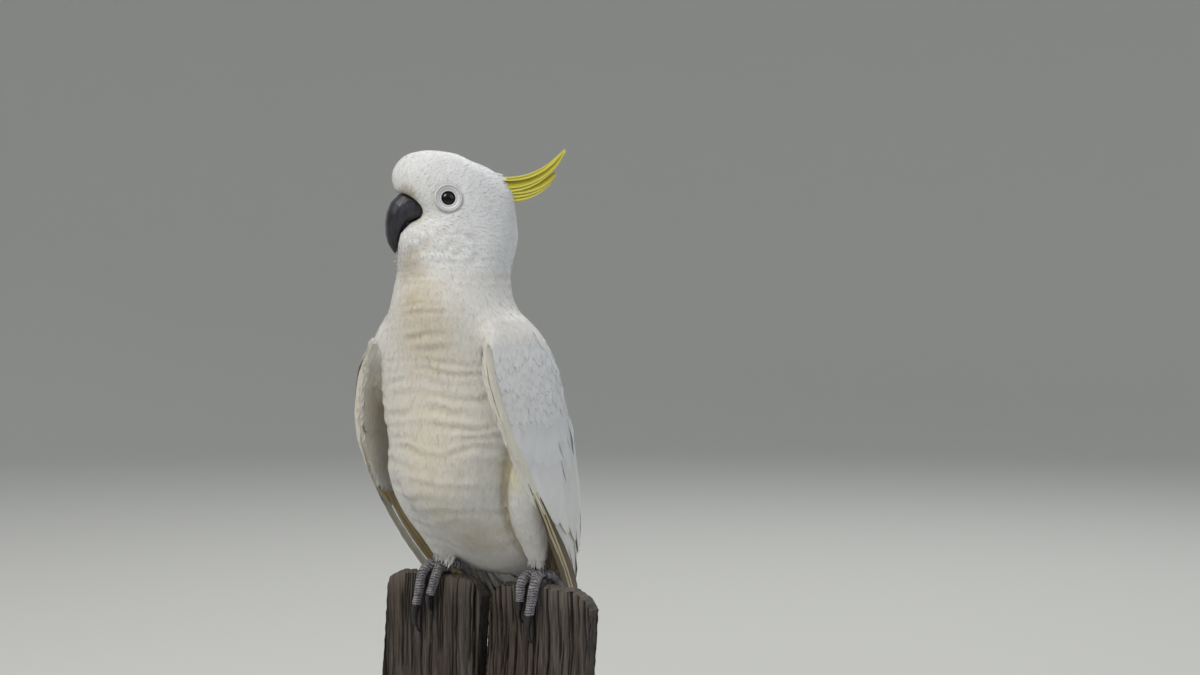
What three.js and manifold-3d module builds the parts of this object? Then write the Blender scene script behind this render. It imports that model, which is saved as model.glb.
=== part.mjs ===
// Sulphur-crested cockatoo (Cacatua galerita), a still, life-size model perched on two fence palings.
// Millimetres, +Z up. The bird's body faces -Y, so its left side is +X; its head is turned to its right.
// Origin: the middle of the stand base's underside.
import * as THREE from 'three';
import { mergeVertices } from 'three/addons/utils/BufferGeometryUtils.js';
import Module from 'manifold-3d';

const wasm = await Module();
wasm.setup();

// ---- Driving dimensions --------------------------------------------------------------------------
const GAP = 0.3; // clearance between pieces that touch
const PERCH = 156; // height of the nominal perch line above the floor; body heights are counted from it

const HEAD_TURN = 42; // degrees, to the bird's right
const HEAD_CENTRE = new THREE.Vector3(0, -46, 0); // the turning axis of head and neck
const HEAD_CUT = 249; // heights at which head, neck and trunk are parted
const NECK_CUT = 214;
const TRUNK_END = -8; // where the tail begins

const EYE_AT = { forward: 8.4, side: 19.4, up: 292.3 };
const EYE_RADIUS = 7.6;
const EYELID = { inner: 5.3, outer: 9.5, thick: 1.3, rise: 2.6 };

const PALING = { thick: 15, lean: 4, bottom: -90 };
const RAIL = { length: 150, high: 34, thick: 18, up: -70 };
const BASE = { long: 220, wide: 190, high: 12, corner: 30 };
const ROD_RADIUS = 5;

// ---- Small tools ---------------------------------------------------------------------------------
const DEGREE = Math.PI / 180;
const vec = (x, y, z) => new THREE.Vector3(x, y, z);
const mix = THREE.MathUtils.lerp;

// Smooth values between the rows of a table whose first column rises.
function smooth(rows) {
  const places = rows.map((row) => row[0]);
  const values = rows.flatMap((row) => row.slice(1));
  const curve = new THREE.CubicInterpolant(places, values, rows[0].length - 1);
  return (place) => Array.from(curve.evaluate(place));
}

// A closed surface through rings of points; a ring of one point is a tip, any other end is capped.
function loft(rings) {
  const points = [];
  const faces = [];
  const starts = rings.map((ring) => {
    points.push(...ring);
    return points.length - ring.length;
  });
  const count = Math.max(...rings.map((ring) => ring.length));
  for (let r = 0; r + 1 < rings.length; r++) {
    const [low, high] = [rings[r], rings[r + 1]];
    for (let i = 0; i < count; i++) {
      const j = (i + 1) % count;
      const [a, b] = [starts[r] + (low.length > 1 ? i : 0), starts[r] + (low.length > 1 ? j : 0)];
      const [d, c] = [starts[r + 1] + (high.length > 1 ? i : 0), starts[r + 1] + (high.length > 1 ? j : 0)];
      if (a !== b) faces.push(a, b, c);
      if (c !== d) faces.push(a, c, d);
    }
  }
  for (const end of [0, rings.length - 1]) {
    if (rings[end].length === 1) continue;
    const middle = rings[end].reduce((sum, p) => sum.add(p), vec(0, 0, 0)).divideScalar(count);
    points.push(middle);
    for (let i = 0; i < count; i++) {
      const [a, b] = [starts[end] + i, starts[end] + ((i + 1) % count)];
      faces.push(points.length - 1, ...(end === 0 ? [b, a] : [a, b]));
    }
  }
  const geometry = new THREE.BufferGeometry().setFromPoints(points);
  geometry.setIndex(faces);
  return facingOut(geometry);
}

function facingOut(geometry) {
  const [place, index] = [geometry.attributes.position, geometry.index.array];
  const [a, b, c] = [vec(), vec(), vec()];
  let volume = 0;
  for (let i = 0; i < index.length; i += 3) {
    a.fromBufferAttribute(place, index[i]);
    b.fromBufferAttribute(place, index[i + 1]);
    c.fromBufferAttribute(place, index[i + 2]);
    volume += a.dot(b.cross(c));
  }
  if (volume < 0) {
    for (let i = 0; i < index.length; i += 3) [index[i], index[i + 1]] = [index[i + 1], index[i]];
  }
  return geometry;
}

// A body swept along a path: `across` and `thick` are half sizes at t from 0 to 1, `side` points across.
function sweep({ path, across, thick, side, sides = 8, steps = 8, tipped = true }) {
  const curve = new THREE.CatmullRomCurve3(path);
  const rings = [];
  for (let s = 0; s <= steps; s++) {
    const t = s / steps;
    const centre = curve.getPoint(t);
    if (tipped && s === steps) {
      rings.push([centre]);
      continue;
    }
    const along = curve.getTangent(t);
    const wide = side.clone().addScaledVector(along, -side.dot(along)).normalize();
    const deep = along.clone().cross(wide);
    rings.push(
      Array.from({ length: sides }, (_, i) => {
        const angle = (2 * Math.PI * i) / sides;
        return centre
          .clone()
          .addScaledVector(wide, Math.cos(angle) * across(t))
          .addScaledVector(deep, Math.sin(angle) * thick(t));
      }),
    );
  }
  return loft(rings);
}

// The geometry with only its shared corners left.
function bare(geometry) {
  const copy = geometry.clone();
  copy.deleteAttribute('normal');
  copy.deleteAttribute('uv');
  return mergeVertices(copy, 1e-4);
}

function solid(geometry) {
  const merged = bare(geometry);
  return new wasm.Manifold(
    new wasm.Mesh({
      numProp: 3,
      vertProperties: new Float32Array(merged.attributes.position.array),
      triVerts: new Uint32Array(merged.index.array),
    }),
  );
}

// The largest body of a solid, back as a geometry.
function surface(body) {
  const largest = body.decompose().reduce((a, b) => (a.volume() > b.volume() ? a : b));
  const mesh = largest.getMesh();
  const geometry = new THREE.BufferGeometry();
  geometry.setAttribute('position', new THREE.BufferAttribute(new Float32Array(mesh.vertProperties), 3));
  geometry.setIndex(new THREE.BufferAttribute(new Uint32Array(mesh.triVerts), 1));
  return geometry;
}

const join = (geometries) => surface(geometries.map(solid).reduce((a, b) => a.add(b)));
const cut = (geometry, tools) => surface(tools.map(solid).reduce((a, b) => a.subtract(b), solid(geometry)));

// ---- Head, neck and trunk: one stack of level sections --------------------------------------------
// height, centre x, centre y, half width, reach to the front, reach to the back, turn in degrees
const flesh = smooth([
  [-9, 0, 46, 25, 9, 9, 0],
  [6, 0, 34, 37, 20, 21, 0],
  [20, -1, 20, 42, 30, 32, 0],
  [34, -2, 9, 44, 41, 40, 0],
  [50, -6, -1, 45, 51, 46, 0],
  [70, -8, -9, 51.5, 60, 50, 0],
  [92, -7, -14, 59, 60, 56, 0],
  [116, -4, -18, 67, 58, 57, 0],
  [142, -4, -22, 70, 56, 56, 0],
  [164, -3, -27, 69, 54, 54, 0],
  [184, -2, -33, 65, 53, 51, 0],
  [200, -1, -39, 59, 52, 46, 4],
  [214, 0, -44, 51, 50, 45, 10],
  [230, 0, -46, 45, 46, 46, 20],
  [244, 0, -46, 41, 42, 47, 32],
  [254, 0, -46, 37, 43.5, 49, 40],
  [264, 0, -46, 34, 45, 51, 42],
  [271.5, 0, -46, 32.5, 43, 50.5, 42],
  [275.5, 0, -46, 31.5, 35, 50.2, 42],
  [278.5, 0, -46, 31, 28.5, 49.8, 42],
  [284, 0, -46, 30, 30, 49.3, 42],
  [290, 0, -46, 29, 36.5, 47.5, 42],
  [296, 0, -46, 27.5, 42, 45, 42],
  [302, 0, -46, 26, 45.5, 41, 42],
  [308.5, 0, -46, 24, 47.5, 35.5, 42],
  [316, 0, -46, 21, 46, 26, 42],
  [323.5, 0, -46, 16, 41, 12, 42],
  [328, 0, -46, 10, 35, 3, 42],
]);
const CROWN = { up: 331.5, forward: 18, ring: 328 };
const BODY_SIDES = 28;

// One level ring of the body, grown outward by `extra`.
function fleshRing(height, extra = 0) {
  const [x, y, half, front, back, turn] = flesh(height);
  const forward = vec(0, -1, 0).applyAxisAngle(vec(0, 0, 1), -turn * DEGREE);
  const left = vec(1, 0, 0).applyAxisAngle(vec(0, 0, 1), -turn * DEGREE);
  return Array.from({ length: BODY_SIDES }, (_, i) => {
    const angle = (2 * Math.PI * i) / BODY_SIDES;
    const reach = Math.sin(angle) > 0 ? front : back;
    return vec(x, y, PERCH + height)
      .addScaledVector(left, Math.cos(angle) * (half + extra))
      .addScaledVector(forward, Math.sin(angle) * (reach + extra));
  });
}

function fleshRings(low, high, count, extra = 0) {
  return Array.from({ length: count + 1 }, (_, i) => fleshRing(mix(low, high, i / count), extra));
}

const trunkBlank = (extra = 0) => loft(fleshRings(TRUNK_END, NECK_CUT - GAP / 2, 17, extra));
const neckBlank = () => loft(fleshRings(NECK_CUT + GAP / 2, HEAD_CUT - GAP / 2, 4));

function headBlank() {
  const top = headPoint(CROWN.forward, 0, CROWN.up);
  return loft([...fleshRings(HEAD_CUT + GAP / 2, CROWN.ring, 16), [top]]);
}

// A place counted from the head's turning axis: forward, to the bird's left, and up from the perch line.
function headPoint(forward, left, up) {
  return vec(left, -forward, PERCH + up)
    .applyAxisAngle(vec(0, 0, 1), -HEAD_TURN * DEGREE)
    .add(HEAD_CENTRE);
}

function headDirection(forward, left, up) {
  return vec(left, -forward, up).applyAxisAngle(vec(0, 0, 1), -HEAD_TURN * DEGREE).normalize();
}

// ---- Bill ----------------------------------------------------------------------------------------
// Stations from root to tip: ridge forward, ridge up, edge forward, edge up, half width
const UPPER_BILL = [
  [33, 297, 18, 280, 12],
  [41, 296.5, 25, 278.5, 12.5],
  [47, 291, 30, 277.5, 12.2],
  [50.2, 283.5, 35, 275.5, 11],
  [51.5, 275, 38.6, 270.5, 9.2],
  [51, 267, 41, 264.5, 6.8],
  [49.3, 260.5, 42.2, 258.8, 4.4],
  [46.8, 256, 42.9, 254.8, 2.4],
];
const BILL_TIP = [44, 252.2];
const LOWER_BILL = [
  [22, 275, 18, 264, 8.5],
  [31, 274.5, 27, 261.5, 9],
  [38, 272, 35, 262.5, 7.5],
];
const LOWER_TIP = [42.5, 267];
const BILL_SIDES = 12;

function bill(stations, tip, extra = 0) {
  const rings = stations.map(([ridgeOut, ridgeUp, edgeOut, edgeUp, half]) => {
    const middle = [(ridgeOut + edgeOut) / 2, (ridgeUp + edgeUp) / 2];
    const reach = [(ridgeOut - edgeOut) / 2, (ridgeUp - edgeUp) / 2];
    const grow = 1 + extra / Math.hypot(...reach);
    return Array.from({ length: BILL_SIDES }, (_, i) => {
      const angle = (2 * Math.PI * i) / BILL_SIDES;
      const ridge = Math.cos(angle) * grow;
      const side = Math.sign(Math.sin(angle)) * Math.abs(Math.sin(angle)) ** 0.8 * (half + extra);
      return headPoint(middle[0] + reach[0] * ridge, side, middle[1] + reach[1] * ridge);
    });
  });
  return loft([...rings, [headPoint(tip[0], 0, tip[1] - extra)]]);
}

// ---- Eyes ----------------------------------------------------------------------------------------
// Each eyeball looks outward, a little forward and a little up, through a flat ring of bare skin.
function eyeLine(left) {
  const centre = headPoint(EYE_AT.forward, left * EYE_AT.side, EYE_AT.up);
  return { centre, outward: headDirection(0.12, left, 0.16) };
}

function eyeball(left, extra = 0) {
  const ball = new THREE.SphereGeometry(EYE_RADIUS + extra, 12, 7);
  ball.translate(...eyeLine(left).centre.toArray());
  return ball;
}

// A ring of bare skin that rises from the eyeball to its rim.
function eyelid(left) {
  const { centre, outward } = eyeLine(left);
  const low = Math.sqrt(EYE_RADIUS ** 2 - EYELID.inner ** 2) + GAP;
  const rim = low + EYELID.rise;
  const profile = [
    [EYELID.inner, low],
    [EYELID.outer, rim - EYELID.thick],
    [EYELID.outer + 0.3, rim],
    [EYELID.inner + 0.5, low + 0.9],
    [EYELID.inner, low],
  ];
  return turned(profile, centre, outward);
}

// The hollow in the head that takes the eyelid and leaves the eye open.
function eyeOpening(left) {
  const { centre, outward } = eyeLine(left);
  const low = Math.sqrt(EYE_RADIUS ** 2 - EYELID.inner ** 2);
  const rim = low + EYELID.rise;
  const profile = [
    [0, low - GAP],
    [EYELID.inner, low - GAP],
    [EYELID.outer + 2 * GAP, rim - EYELID.thick - GAP],
    [EYELID.outer + 4 * GAP, rim + EYELID.outer],
    [0, rim + EYELID.outer],
  ];
  return turned(profile, centre, outward);
}

// A profile of [radius, height] pairs turned about a line.
function turned(profile, centre, outward) {
  const ring = new THREE.LatheGeometry(profile.map(([r, h]) => new THREE.Vector2(r, h)), 16);
  ring.applyQuaternion(new THREE.Quaternion().setFromUnitVectors(vec(0, 1, 0), outward));
  ring.translate(...centre.toArray());
  return facingOut(bare(ring));
}

// ---- Crest ---------------------------------------------------------------------------------------
// Feathers folded back from the crown, each a blade whose tip curls up.
// root back, root up, belly back, belly up, tip back, tip up, sideways spread, half width
const CREST = [
  [24, 315, 62, 305.5, 88, 328, 0, 5.5],
  [28, 313, 60, 302, 80, 309, 3, 5.5],
  [28, 313, 59, 302, 81, 313, -3, 5.5],
  [30, 308, 54, 298, 73, 300, 4.5, 4.5],
  [30, 308, 54, 298, 72, 302, -4.5, 4.5],
];
const CREST_THICK = 1.7;

function crestFeather([rootBack, rootUp, bellyBack, bellyUp, tipBack, tipUp, spread, half]) {
  const lean = headDirection(0, 1, spread === 0 ? 0.9 : -Math.sign(spread) * 1.6);
  return sweep({
    path: [
      headPoint(-rootBack, spread * 0.6, rootUp),
      headPoint(-mix(rootBack, bellyBack, 0.55), spread, mix(rootUp, bellyUp, 0.7)),
      headPoint(-bellyBack, spread, bellyUp),
      headPoint(-mix(bellyBack, tipBack, 0.62), spread * 0.8, mix(bellyUp, tipUp, 0.32)),
      headPoint(-tipBack, spread * 0.4, tipUp),
    ],
    across: (t) => half * (0.75 + 0.45 * Math.sin(Math.PI * t)) * Math.sqrt(1 - t ** 3),
    thick: (t) => CREST_THICK * mix(1.6, 0.6, t),
    side: lean,
    sides: 6,
    steps: 6,
  });
}

// ---- Wings and tail ------------------------------------------------------------------------------
// Level sections of a folded wing, seen from above, for the left wing (+X):
// height, front x, front y, side x, side y, back x, back y, thickness
const LEFT_WING = smooth([
  [-70, 17, 79, 15, 82, 10, 83, 2.2],
  [-40, 38, 60, 34, 72, 6, 80, 4],
  [-10, 54, 34, 46, 57, 4, 77, 6],
  [20, 65, 2, 58, 42, 3, 72, 8],
  [50, 70, -26, 68, 28, 3, 66, 10],
  [80, 68, -44, 73, 14, 5, 59, 13],
  [110, 64, -62, 78, 1, 10, 52, 15],
  [140, 59, -75, 80, -11, 19, 43, 16],
  [165, 55, -81, 78, -20, 28, 33, 16],
  [185, 53, -82, 74, -29, 37, 21, 16],
  [207, 52, -70, 61, -42, 48, -13, 14],
]);
// The right wing hangs a little open, so its front edge stands off the flank.
const RIGHT_WING = smooth([
  [-70, -34, 76, -28, 81, -20, 83, 2.2],
  [-40, -54, 54, -46, 70, -12, 81, 4],
  [-10, -69, 33, -65, 56, -8, 77, 5],
  [20, -80, 11, -77, 42, -6, 72, 6],
  [50, -86, -11, -83, 24, -5, 66, 7],
  [80, -87, -32, -87, 8, -7, 59, 8],
  [110, -85, -52, -88, -4, -12, 52, 10],
  [140, -80, -62, -86, -14, -20, 43, 12],
  [165, -72, -69, -82, -20, -29, 33, 15],
  [185, -58, -76, -75, -28, -38, 21, 17],
  [207, -52, -68, -62, -42, -49, -13, 14],
]);
const WING_TOP = 207;
const WING_TIP = -70;
const WING_ROWS = 14;
const WING_COLUMNS = 8;

function wingRing(wing, height, side) {
  const [frontX, frontY, sideX, sideY, backX, backY, thick] = wing(height);
  const outline = new THREE.CatmullRomCurve3([
    vec(frontX, frontY, PERCH + height),
    vec(sideX, sideY, PERCH + height),
    vec(backX, backY, PERCH + height),
  ]);
  const outer = [];
  const inner = [];
  for (let i = 0; i <= WING_COLUMNS; i++) {
    const t = i / WING_COLUMNS;
    const place = outline.getPoint(t);
    const along = outline.getTangent(t);
    const inward = vec(-along.y, along.x, 0).multiplyScalar(side).normalize();
    outer.push(place);
    // blunt front edge, thin trailing edge
    const depth = thick * mix(0.5, 1, Math.sin(Math.PI * Math.min(1, t * 1.6) * 0.5)) * mix(1, 0.45, t * t);
    inner.unshift(place.clone().addScaledVector(inward, depth));
  }
  return [...outer, ...inner];
}

function wingBlank(wing, side) {
  const heights = Array.from({ length: WING_ROWS + 1 }, (_, i) => mix(WING_TIP, WING_TOP, i / WING_ROWS));
  return loft(heights.map((height) => wingRing(wing, height, side)));
}

// height, centre y, half width, half thickness, how far the edges curl forward
const TAIL = smooth([
  [-116, 79, 37, 1.3, 2],
  [-112, 78.5, 41, 1.5, 2.5],
  [-95, 75, 40, 1.8, 4],
  [-60, 65, 35, 3, 5],
  [-30, 55, 29, 5.5, 4],
  [-8, 46, 25, 8.7, 0],
]);
const TAIL_COLUMNS = 8;

function tailRing(height) {
  const [y, half, thick, curl] = TAIL(height);
  const upper = [];
  const lower = [];
  for (let i = 0; i <= TAIL_COLUMNS; i++) {
    const across = mix(-1, 1, i / TAIL_COLUMNS);
    const bulge = thick * Math.sqrt(1 - 0.93 * across * across);
    const middle = y - curl * across * across;
    upper.push(vec(half * across, middle + bulge, PERCH + height));
    lower.unshift(vec(half * across, middle - bulge, PERCH + height));
  }
  return [...upper, ...lower];
}

const tail = () => loft([-116, -112, -95, -78, -60, -44, -30, -18, TRUNK_END - GAP].map(tailRing));

// ---- Legs ----------------------------------------------------------------------------------------
// Feathered thigh: height, centre x, centre y, radius
const LEFT_THIGH = smooth([
  [17, 46, 0, 8.5],
  [26, 46, -3, 11],
  [38, 47, -9, 14],
  [55, 48, -17, 16.5],
  [75, 50, -24, 17],
  [95, 51, -32, 13],
  [108, 53, -38, 8],
]);
const RIGHT_THIGH = smooth([
  [17, -38, -3, 8.5],
  [26, -41, -7, 11],
  [38, -44, -12, 14],
  [55, -49, -18, 18],
  [75, -53, -25, 19],
  [95, -56, -32, 16],
  [108, -57, -36, 10],
]);
const THIGH_TOP = 108;
const THIGH_FOOT = 17;

function thighBlank(thigh, extra = 0) {
  return loft(
    Array.from({ length: 9 }, (_, i) => {
      const height = mix(THIGH_FOOT - extra, THIGH_TOP + extra, i / 8);
      const [x, y, radius] = thigh(height);
      return Array.from({ length: 14 }, (_, k) => {
        const angle = (2 * Math.PI * k) / 14;
        return vec(
          x + Math.cos(angle) * (radius + extra),
          y + Math.sin(angle) * (radius + extra),
          PERCH + height,
        );
      });
    }),
  );
}

// A foot: ankle place, the top of the wood under it, and its four toes, two in front and two behind.
// A toe is: knuckle x, tip x, drop of its tip below the wood's top, radius
const FEET = {
  right: {
    side: -1, ankle: [-38, -3], wood: 6.5,
    toes: { outer_front: [-52, -57.5, -25, 4.5], inner_front: [-39, -44.5, -16, 4.3],
      outer_back: [-46, -50, -26, 4.3], inner_back: [-27, -24, -12, 4] },
  },
  left: {
    side: 1, ankle: [46, 1], wood: 3.5,
    toes: { outer_front: [51, 46.5, -23, 4.5], inner_front: [39, 38, -13, 4.3],
      outer_back: [56, 60, -26, 4.3], inner_back: [40, 35, -12, 4] },
  },
};
const CLAW_LONG = 23;

// Centre line of a toe: from the ankle, over the edge of the wood and down its face.
function toePath(foot, name) {
  const [knuckle, tipX, drop, radius] = foot.toes[name];
  const face = name.endsWith('front') ? -1 : 1;
  const top = PERCH + foot.wood;
  const clear = PALING.thick / 2 + radius;
  return [
    vec(foot.ankle[0], foot.ankle[1] + face * 2, top + 6),
    vec(mix(foot.ankle[0], knuckle, 0.7), face * 6, top + radius + 2),
    vec(knuckle, face * clear, top + 0.5),
    vec(mix(knuckle, tipX, 0.5), face * (clear + 0.6), top + drop * 0.5),
    vec(tipX, face * (clear + 1), top + drop),
  ];
}

function toe(foot, name) {
  const radius = foot.toes[name][3];
  const pad = (t) => radius * (1 + 0.07 * Math.cos(t * 6 * Math.PI)) * mix(1.05, 0.82, t);
  return sweep({
    path: toePath(foot, name),
    across: pad,
    thick: pad,
    side: vec(1, 0, 0),
    sides: 6,
    steps: 7,
    tipped: false,
  });
}

// A claw carries on from the toe's end, then hooks down and back toward the wood.
function claw(foot, name) {
  const [knuckle, tipX, , radius] = foot.toes[name];
  const face = name.endsWith('front') ? -1 : 1;
  const long = CLAW_LONG * (name.startsWith('outer') ? 1 : 0.75);
  const toeLine = new THREE.CatmullRomCurve3(toePath(foot, name));
  const along = toeLine.getTangent(1);
  const root = toeLine.getPoint(1).addScaledVector(along, GAP);
  const inward = Math.sign(knuckle - tipX);
  return sweep({
    path: [
      root,
      root.clone().addScaledVector(along, long * 0.3),
      root.clone().add(vec(0, face * 0.4, -long * 0.72)),
      root.clone().add(vec(inward * 3, -face * 2.6, -long)),
    ],
    across: (t) => radius * 0.62 * (1 - 0.75 * t),
    thick: (t) => radius * 0.72 * (1 - 0.75 * t),
    side: vec(1, 0, 0),
    sides: 6,
    steps: 5,
  });
}

function shank(foot) {
  const top = PERCH + foot.wood;
  return sweep({
    path: [
      vec(foot.ankle[0], foot.ankle[1], PERCH + THIGH_FOOT - GAP),
      vec(foot.ankle[0], foot.ankle[1], top + 9),
      vec(foot.ankle[0] + foot.side * 0.5, 0, top + 4.5),
    ],
    across: (t) => mix(6, 6.8, t),
    thick: (t) => mix(5.6, 6.5, t),
    side: vec(1, 0, 0),
    steps: 3,
    tipped: false,
  });
}

// ---- Perch and stand -----------------------------------------------------------------------------
// Worn tops of the two palings as seen from the front: x and height of each outline point
const LEFT_TOP = [[-91, -8], [-87, 3], [-79, 6.5], [-45, 6.5], [-18, 5.5], [-8, 2], [-1, -9]];
const RIGHT_TOP = [[6, -14], [11, -2], [17, 2.5], [48, 3.5], [80, 1.5], [91, -4], [97, -13]];

function paling(top, extra = 0) {
  const shift = Math.tan(PALING.lean * DEGREE);
  const [first, last] = [top[0], top[top.length - 1]];
  const grown = top.map(([x, up]) => [x, up + extra]);
  grown[0][0] -= extra;
  grown[top.length - 1][0] += extra;
  const outline = [
    [first[0] - shift * (first[1] - PALING.bottom) - extra, PALING.bottom - extra],
    [last[0] - shift * (last[1] - PALING.bottom) + extra, PALING.bottom - extra],
    ...grown.toReversed(),
  ];
  const shape = new THREE.Shape(outline.map(([x, up]) => new THREE.Vector2(x, up)));
  const depth = PALING.thick + 2 * extra;
  const board = new THREE.ExtrudeGeometry(shape, { depth, bevelEnabled: false });
  board.rotateX(Math.PI / 2);
  board.translate(0, depth / 2, PERCH);
  return board;
}

function rail() {
  const bar = new THREE.BoxGeometry(RAIL.length, RAIL.thick, RAIL.high);
  bar.translate(0, (PALING.thick + RAIL.thick) / 2 + GAP, PERCH + RAIL.up);
  return bar;
}

function roundedPlate({ long, wide, high, corner }) {
  const [x, y] = [long / 2 - corner, wide / 2 - corner];
  const shape = new THREE.Shape();
  shape.absarc(x, y, corner, 0, 90 * DEGREE);
  shape.absarc(-x, y, corner, 90 * DEGREE, 180 * DEGREE);
  shape.absarc(-x, -y, corner, 180 * DEGREE, 270 * DEGREE);
  shape.absarc(x, -y, corner, 270 * DEGREE, 360 * DEGREE);
  return new THREE.ExtrudeGeometry(shape, { depth: high, bevelEnabled: false, curveSegments: 4 });
}

function rod(x) {
  const low = BASE.high + GAP;
  const high = PERCH + PALING.bottom - GAP;
  const post = new THREE.CylinderGeometry(ROD_RADIUS, ROD_RADIUS, high - low, 16);
  post.rotateX(Math.PI / 2);
  post.translate(x, 0, (low + high) / 2);
  return post;
}

// ---- Materials and assembly ----------------------------------------------------------------------
const WHITE = '#e9e6dc';
const YELLOW = '#d9c72e';
const HORN = '#3a3b3f';
const SKIN = '#8d8b8c';
const WOOD = '#6d625a';

const cockatoo = new THREE.Group();
function add(name, geometry, colour, roughness) {
  const finish = new THREE.MeshStandardMaterial({ color: colour, roughness, metalness: 0 });
  const mesh = new THREE.Mesh(geometry, finish);
  mesh.name = name;
  cockatoo.add(mesh);
}

const trunkRoom = trunkBlank(GAP);
const eyeTools = [1, -1].flatMap((left) => [eyeball(left, GAP), eyeOpening(left)]);
const billTools = [bill(UPPER_BILL, BILL_TIP, GAP), bill(LOWER_BILL, LOWER_TIP, GAP)];
const head = cut(headBlank(), [...eyeTools, ...billTools]);
add('head', head, WHITE, 0.8);
add('neck', neckBlank(), WHITE, 0.8);
add('trunk', trunkBlank(), WHITE, 0.8);
add('tail', tail(), WHITE, 0.7);
add('crest', cut(join(CREST.map(crestFeather)), [headBlank()]), YELLOW, 0.7);
add('bill_upper', bill(UPPER_BILL, BILL_TIP), HORN, 0.5);
add('bill_lower', cut(bill(LOWER_BILL, LOWER_TIP), [billTools[0]]), HORN, 0.5);

for (const [name, left] of [['left', 1], ['right', -1]]) {
  add(`eye_${name}`, bare(eyeball(left)), '#120d0b', 0.1);
  add(`eyelid_${name}`, eyelid(left), '#c9d2dc', 0.6);
}

const boards = { left: paling(RIGHT_TOP), right: paling(LEFT_TOP) };
const boardRoom = { left: paling(RIGHT_TOP, GAP), right: paling(LEFT_TOP, GAP) };
for (const [name, wing, thigh] of [['left', LEFT_WING, LEFT_THIGH], ['right', RIGHT_WING, RIGHT_THIGH]]) {
  const foot = FEET[name];
  const thighRoom = thighBlank(thigh, GAP);
  add(`wing_${name}`, cut(wingBlank(wing, foot.side), [trunkRoom, thighRoom]), WHITE, 0.7);
  add(`thigh_${name}`, cut(thighBlank(thigh), [trunkRoom]), WHITE, 0.8);
  const toes = Object.keys(foot.toes);
  const whole = join([shank(foot), ...toes.map((toeName) => toe(foot, toeName))]);
  add(`foot_${name}`, cut(whole, [boardRoom[name], trunkRoom, thighRoom]), SKIN, 0.8);
  for (const toeName of toes) add(`claw_${name}_${toeName}`, claw(foot, toeName), HORN, 0.45);
}

add('perch_paling_left', boards.left, WOOD, 0.9);
add('perch_paling_right', boards.right, WOOD, 0.9);
add('perch_rail', rail(), WOOD, 0.9);
add('stand_base', roundedPlate(BASE), '#2f2f31', 0.6);
add('stand_rod_left', rod(46), '#2f2f31', 0.5);
add('stand_rod_right', rod(-52), '#2f2f31', 0.5);

export default cockatoo;
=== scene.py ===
# %% [markdown]
# # A cockatoo on a cut length of fence
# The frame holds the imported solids: bird, perch and stand, each at its real size.
# This lesson dresses them. One skin takes the place of the fleshy solids, thousands of small
# feathers are laid over it as real meshes, and every hard part gets its own finish.
# Lengths are in metres, heights are along +Z, and the bird looks roughly towards -Y.

import math

import bmesh
import bpy
import numpy as np
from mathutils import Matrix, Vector
from mathutils.bvhtree import BVHTree


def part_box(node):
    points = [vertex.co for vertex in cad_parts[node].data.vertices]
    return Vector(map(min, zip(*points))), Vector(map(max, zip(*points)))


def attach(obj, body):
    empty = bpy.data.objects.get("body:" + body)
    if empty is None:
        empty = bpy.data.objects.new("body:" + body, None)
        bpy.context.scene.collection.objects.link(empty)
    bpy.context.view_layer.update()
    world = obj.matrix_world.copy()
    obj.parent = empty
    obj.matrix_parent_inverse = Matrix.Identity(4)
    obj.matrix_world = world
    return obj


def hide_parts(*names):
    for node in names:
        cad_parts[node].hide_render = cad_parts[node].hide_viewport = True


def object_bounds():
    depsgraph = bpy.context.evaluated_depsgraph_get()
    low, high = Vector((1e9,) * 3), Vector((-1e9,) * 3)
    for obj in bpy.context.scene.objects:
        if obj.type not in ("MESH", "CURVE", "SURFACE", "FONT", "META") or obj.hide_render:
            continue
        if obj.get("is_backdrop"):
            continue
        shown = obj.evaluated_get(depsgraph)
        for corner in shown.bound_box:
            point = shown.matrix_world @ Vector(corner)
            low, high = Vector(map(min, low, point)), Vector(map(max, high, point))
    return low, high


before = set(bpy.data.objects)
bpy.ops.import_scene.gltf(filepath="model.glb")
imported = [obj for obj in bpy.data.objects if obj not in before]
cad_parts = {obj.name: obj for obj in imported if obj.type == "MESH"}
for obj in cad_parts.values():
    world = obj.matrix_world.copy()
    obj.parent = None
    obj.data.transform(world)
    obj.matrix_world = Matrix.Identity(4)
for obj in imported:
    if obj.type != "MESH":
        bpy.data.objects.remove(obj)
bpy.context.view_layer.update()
MM = 0.001
print("solids in the frame:", len(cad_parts))

# %% [markdown]
# Most sizes here are measured on the frame instead of being written down again. The two eyes
# give the head its own axes, and the top of the palings is the line that the toes stand on.

# %% Landmarks
UP = np.array([0.0, 0.0, 1.0])


def centre(name):
    low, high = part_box(name)
    return np.array((low + high) / 2)


def unit(v):
    return v / np.maximum(np.linalg.norm(v, axis=-1, keepdims=True), 1e-12)


TOES_BELOW_TOP = 6.5 * MM  # the worn tops rise a little above the line the toes stand on
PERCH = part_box("perch_paling_right")[1].z - TOES_BELOW_TOP
HEAD_LEFT = unit((centre("eye_left") - centre("eye_right")) * [1, 1, 0])
HEAD_FRONT = np.cross(HEAD_LEFT, UP)
EYES_MIDDLE = (centre("eye_left") + centre("eye_right")) / 2


def in_head(points):
    """Forward, leftward and upward distance from the point midway between the eyes."""
    return (points - EYES_MIDDLE) @ np.stack([HEAD_FRONT, HEAD_LEFT, UP]).T


def from_head(forward, left, up):
    """The place or direction in the frame of one given along the head's axes, in metres."""
    return forward * HEAD_FRONT + left * HEAD_LEFT + up * UP


print("perch line at", round(PERCH / MM), "mm; head turned",
      round(math.degrees(math.atan2(-HEAD_FRONT[0], -HEAD_FRONT[1]))), "degrees")

# %% [markdown]
# A nearly level view from the bird's front left, with the lens of a short telephoto.

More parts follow.
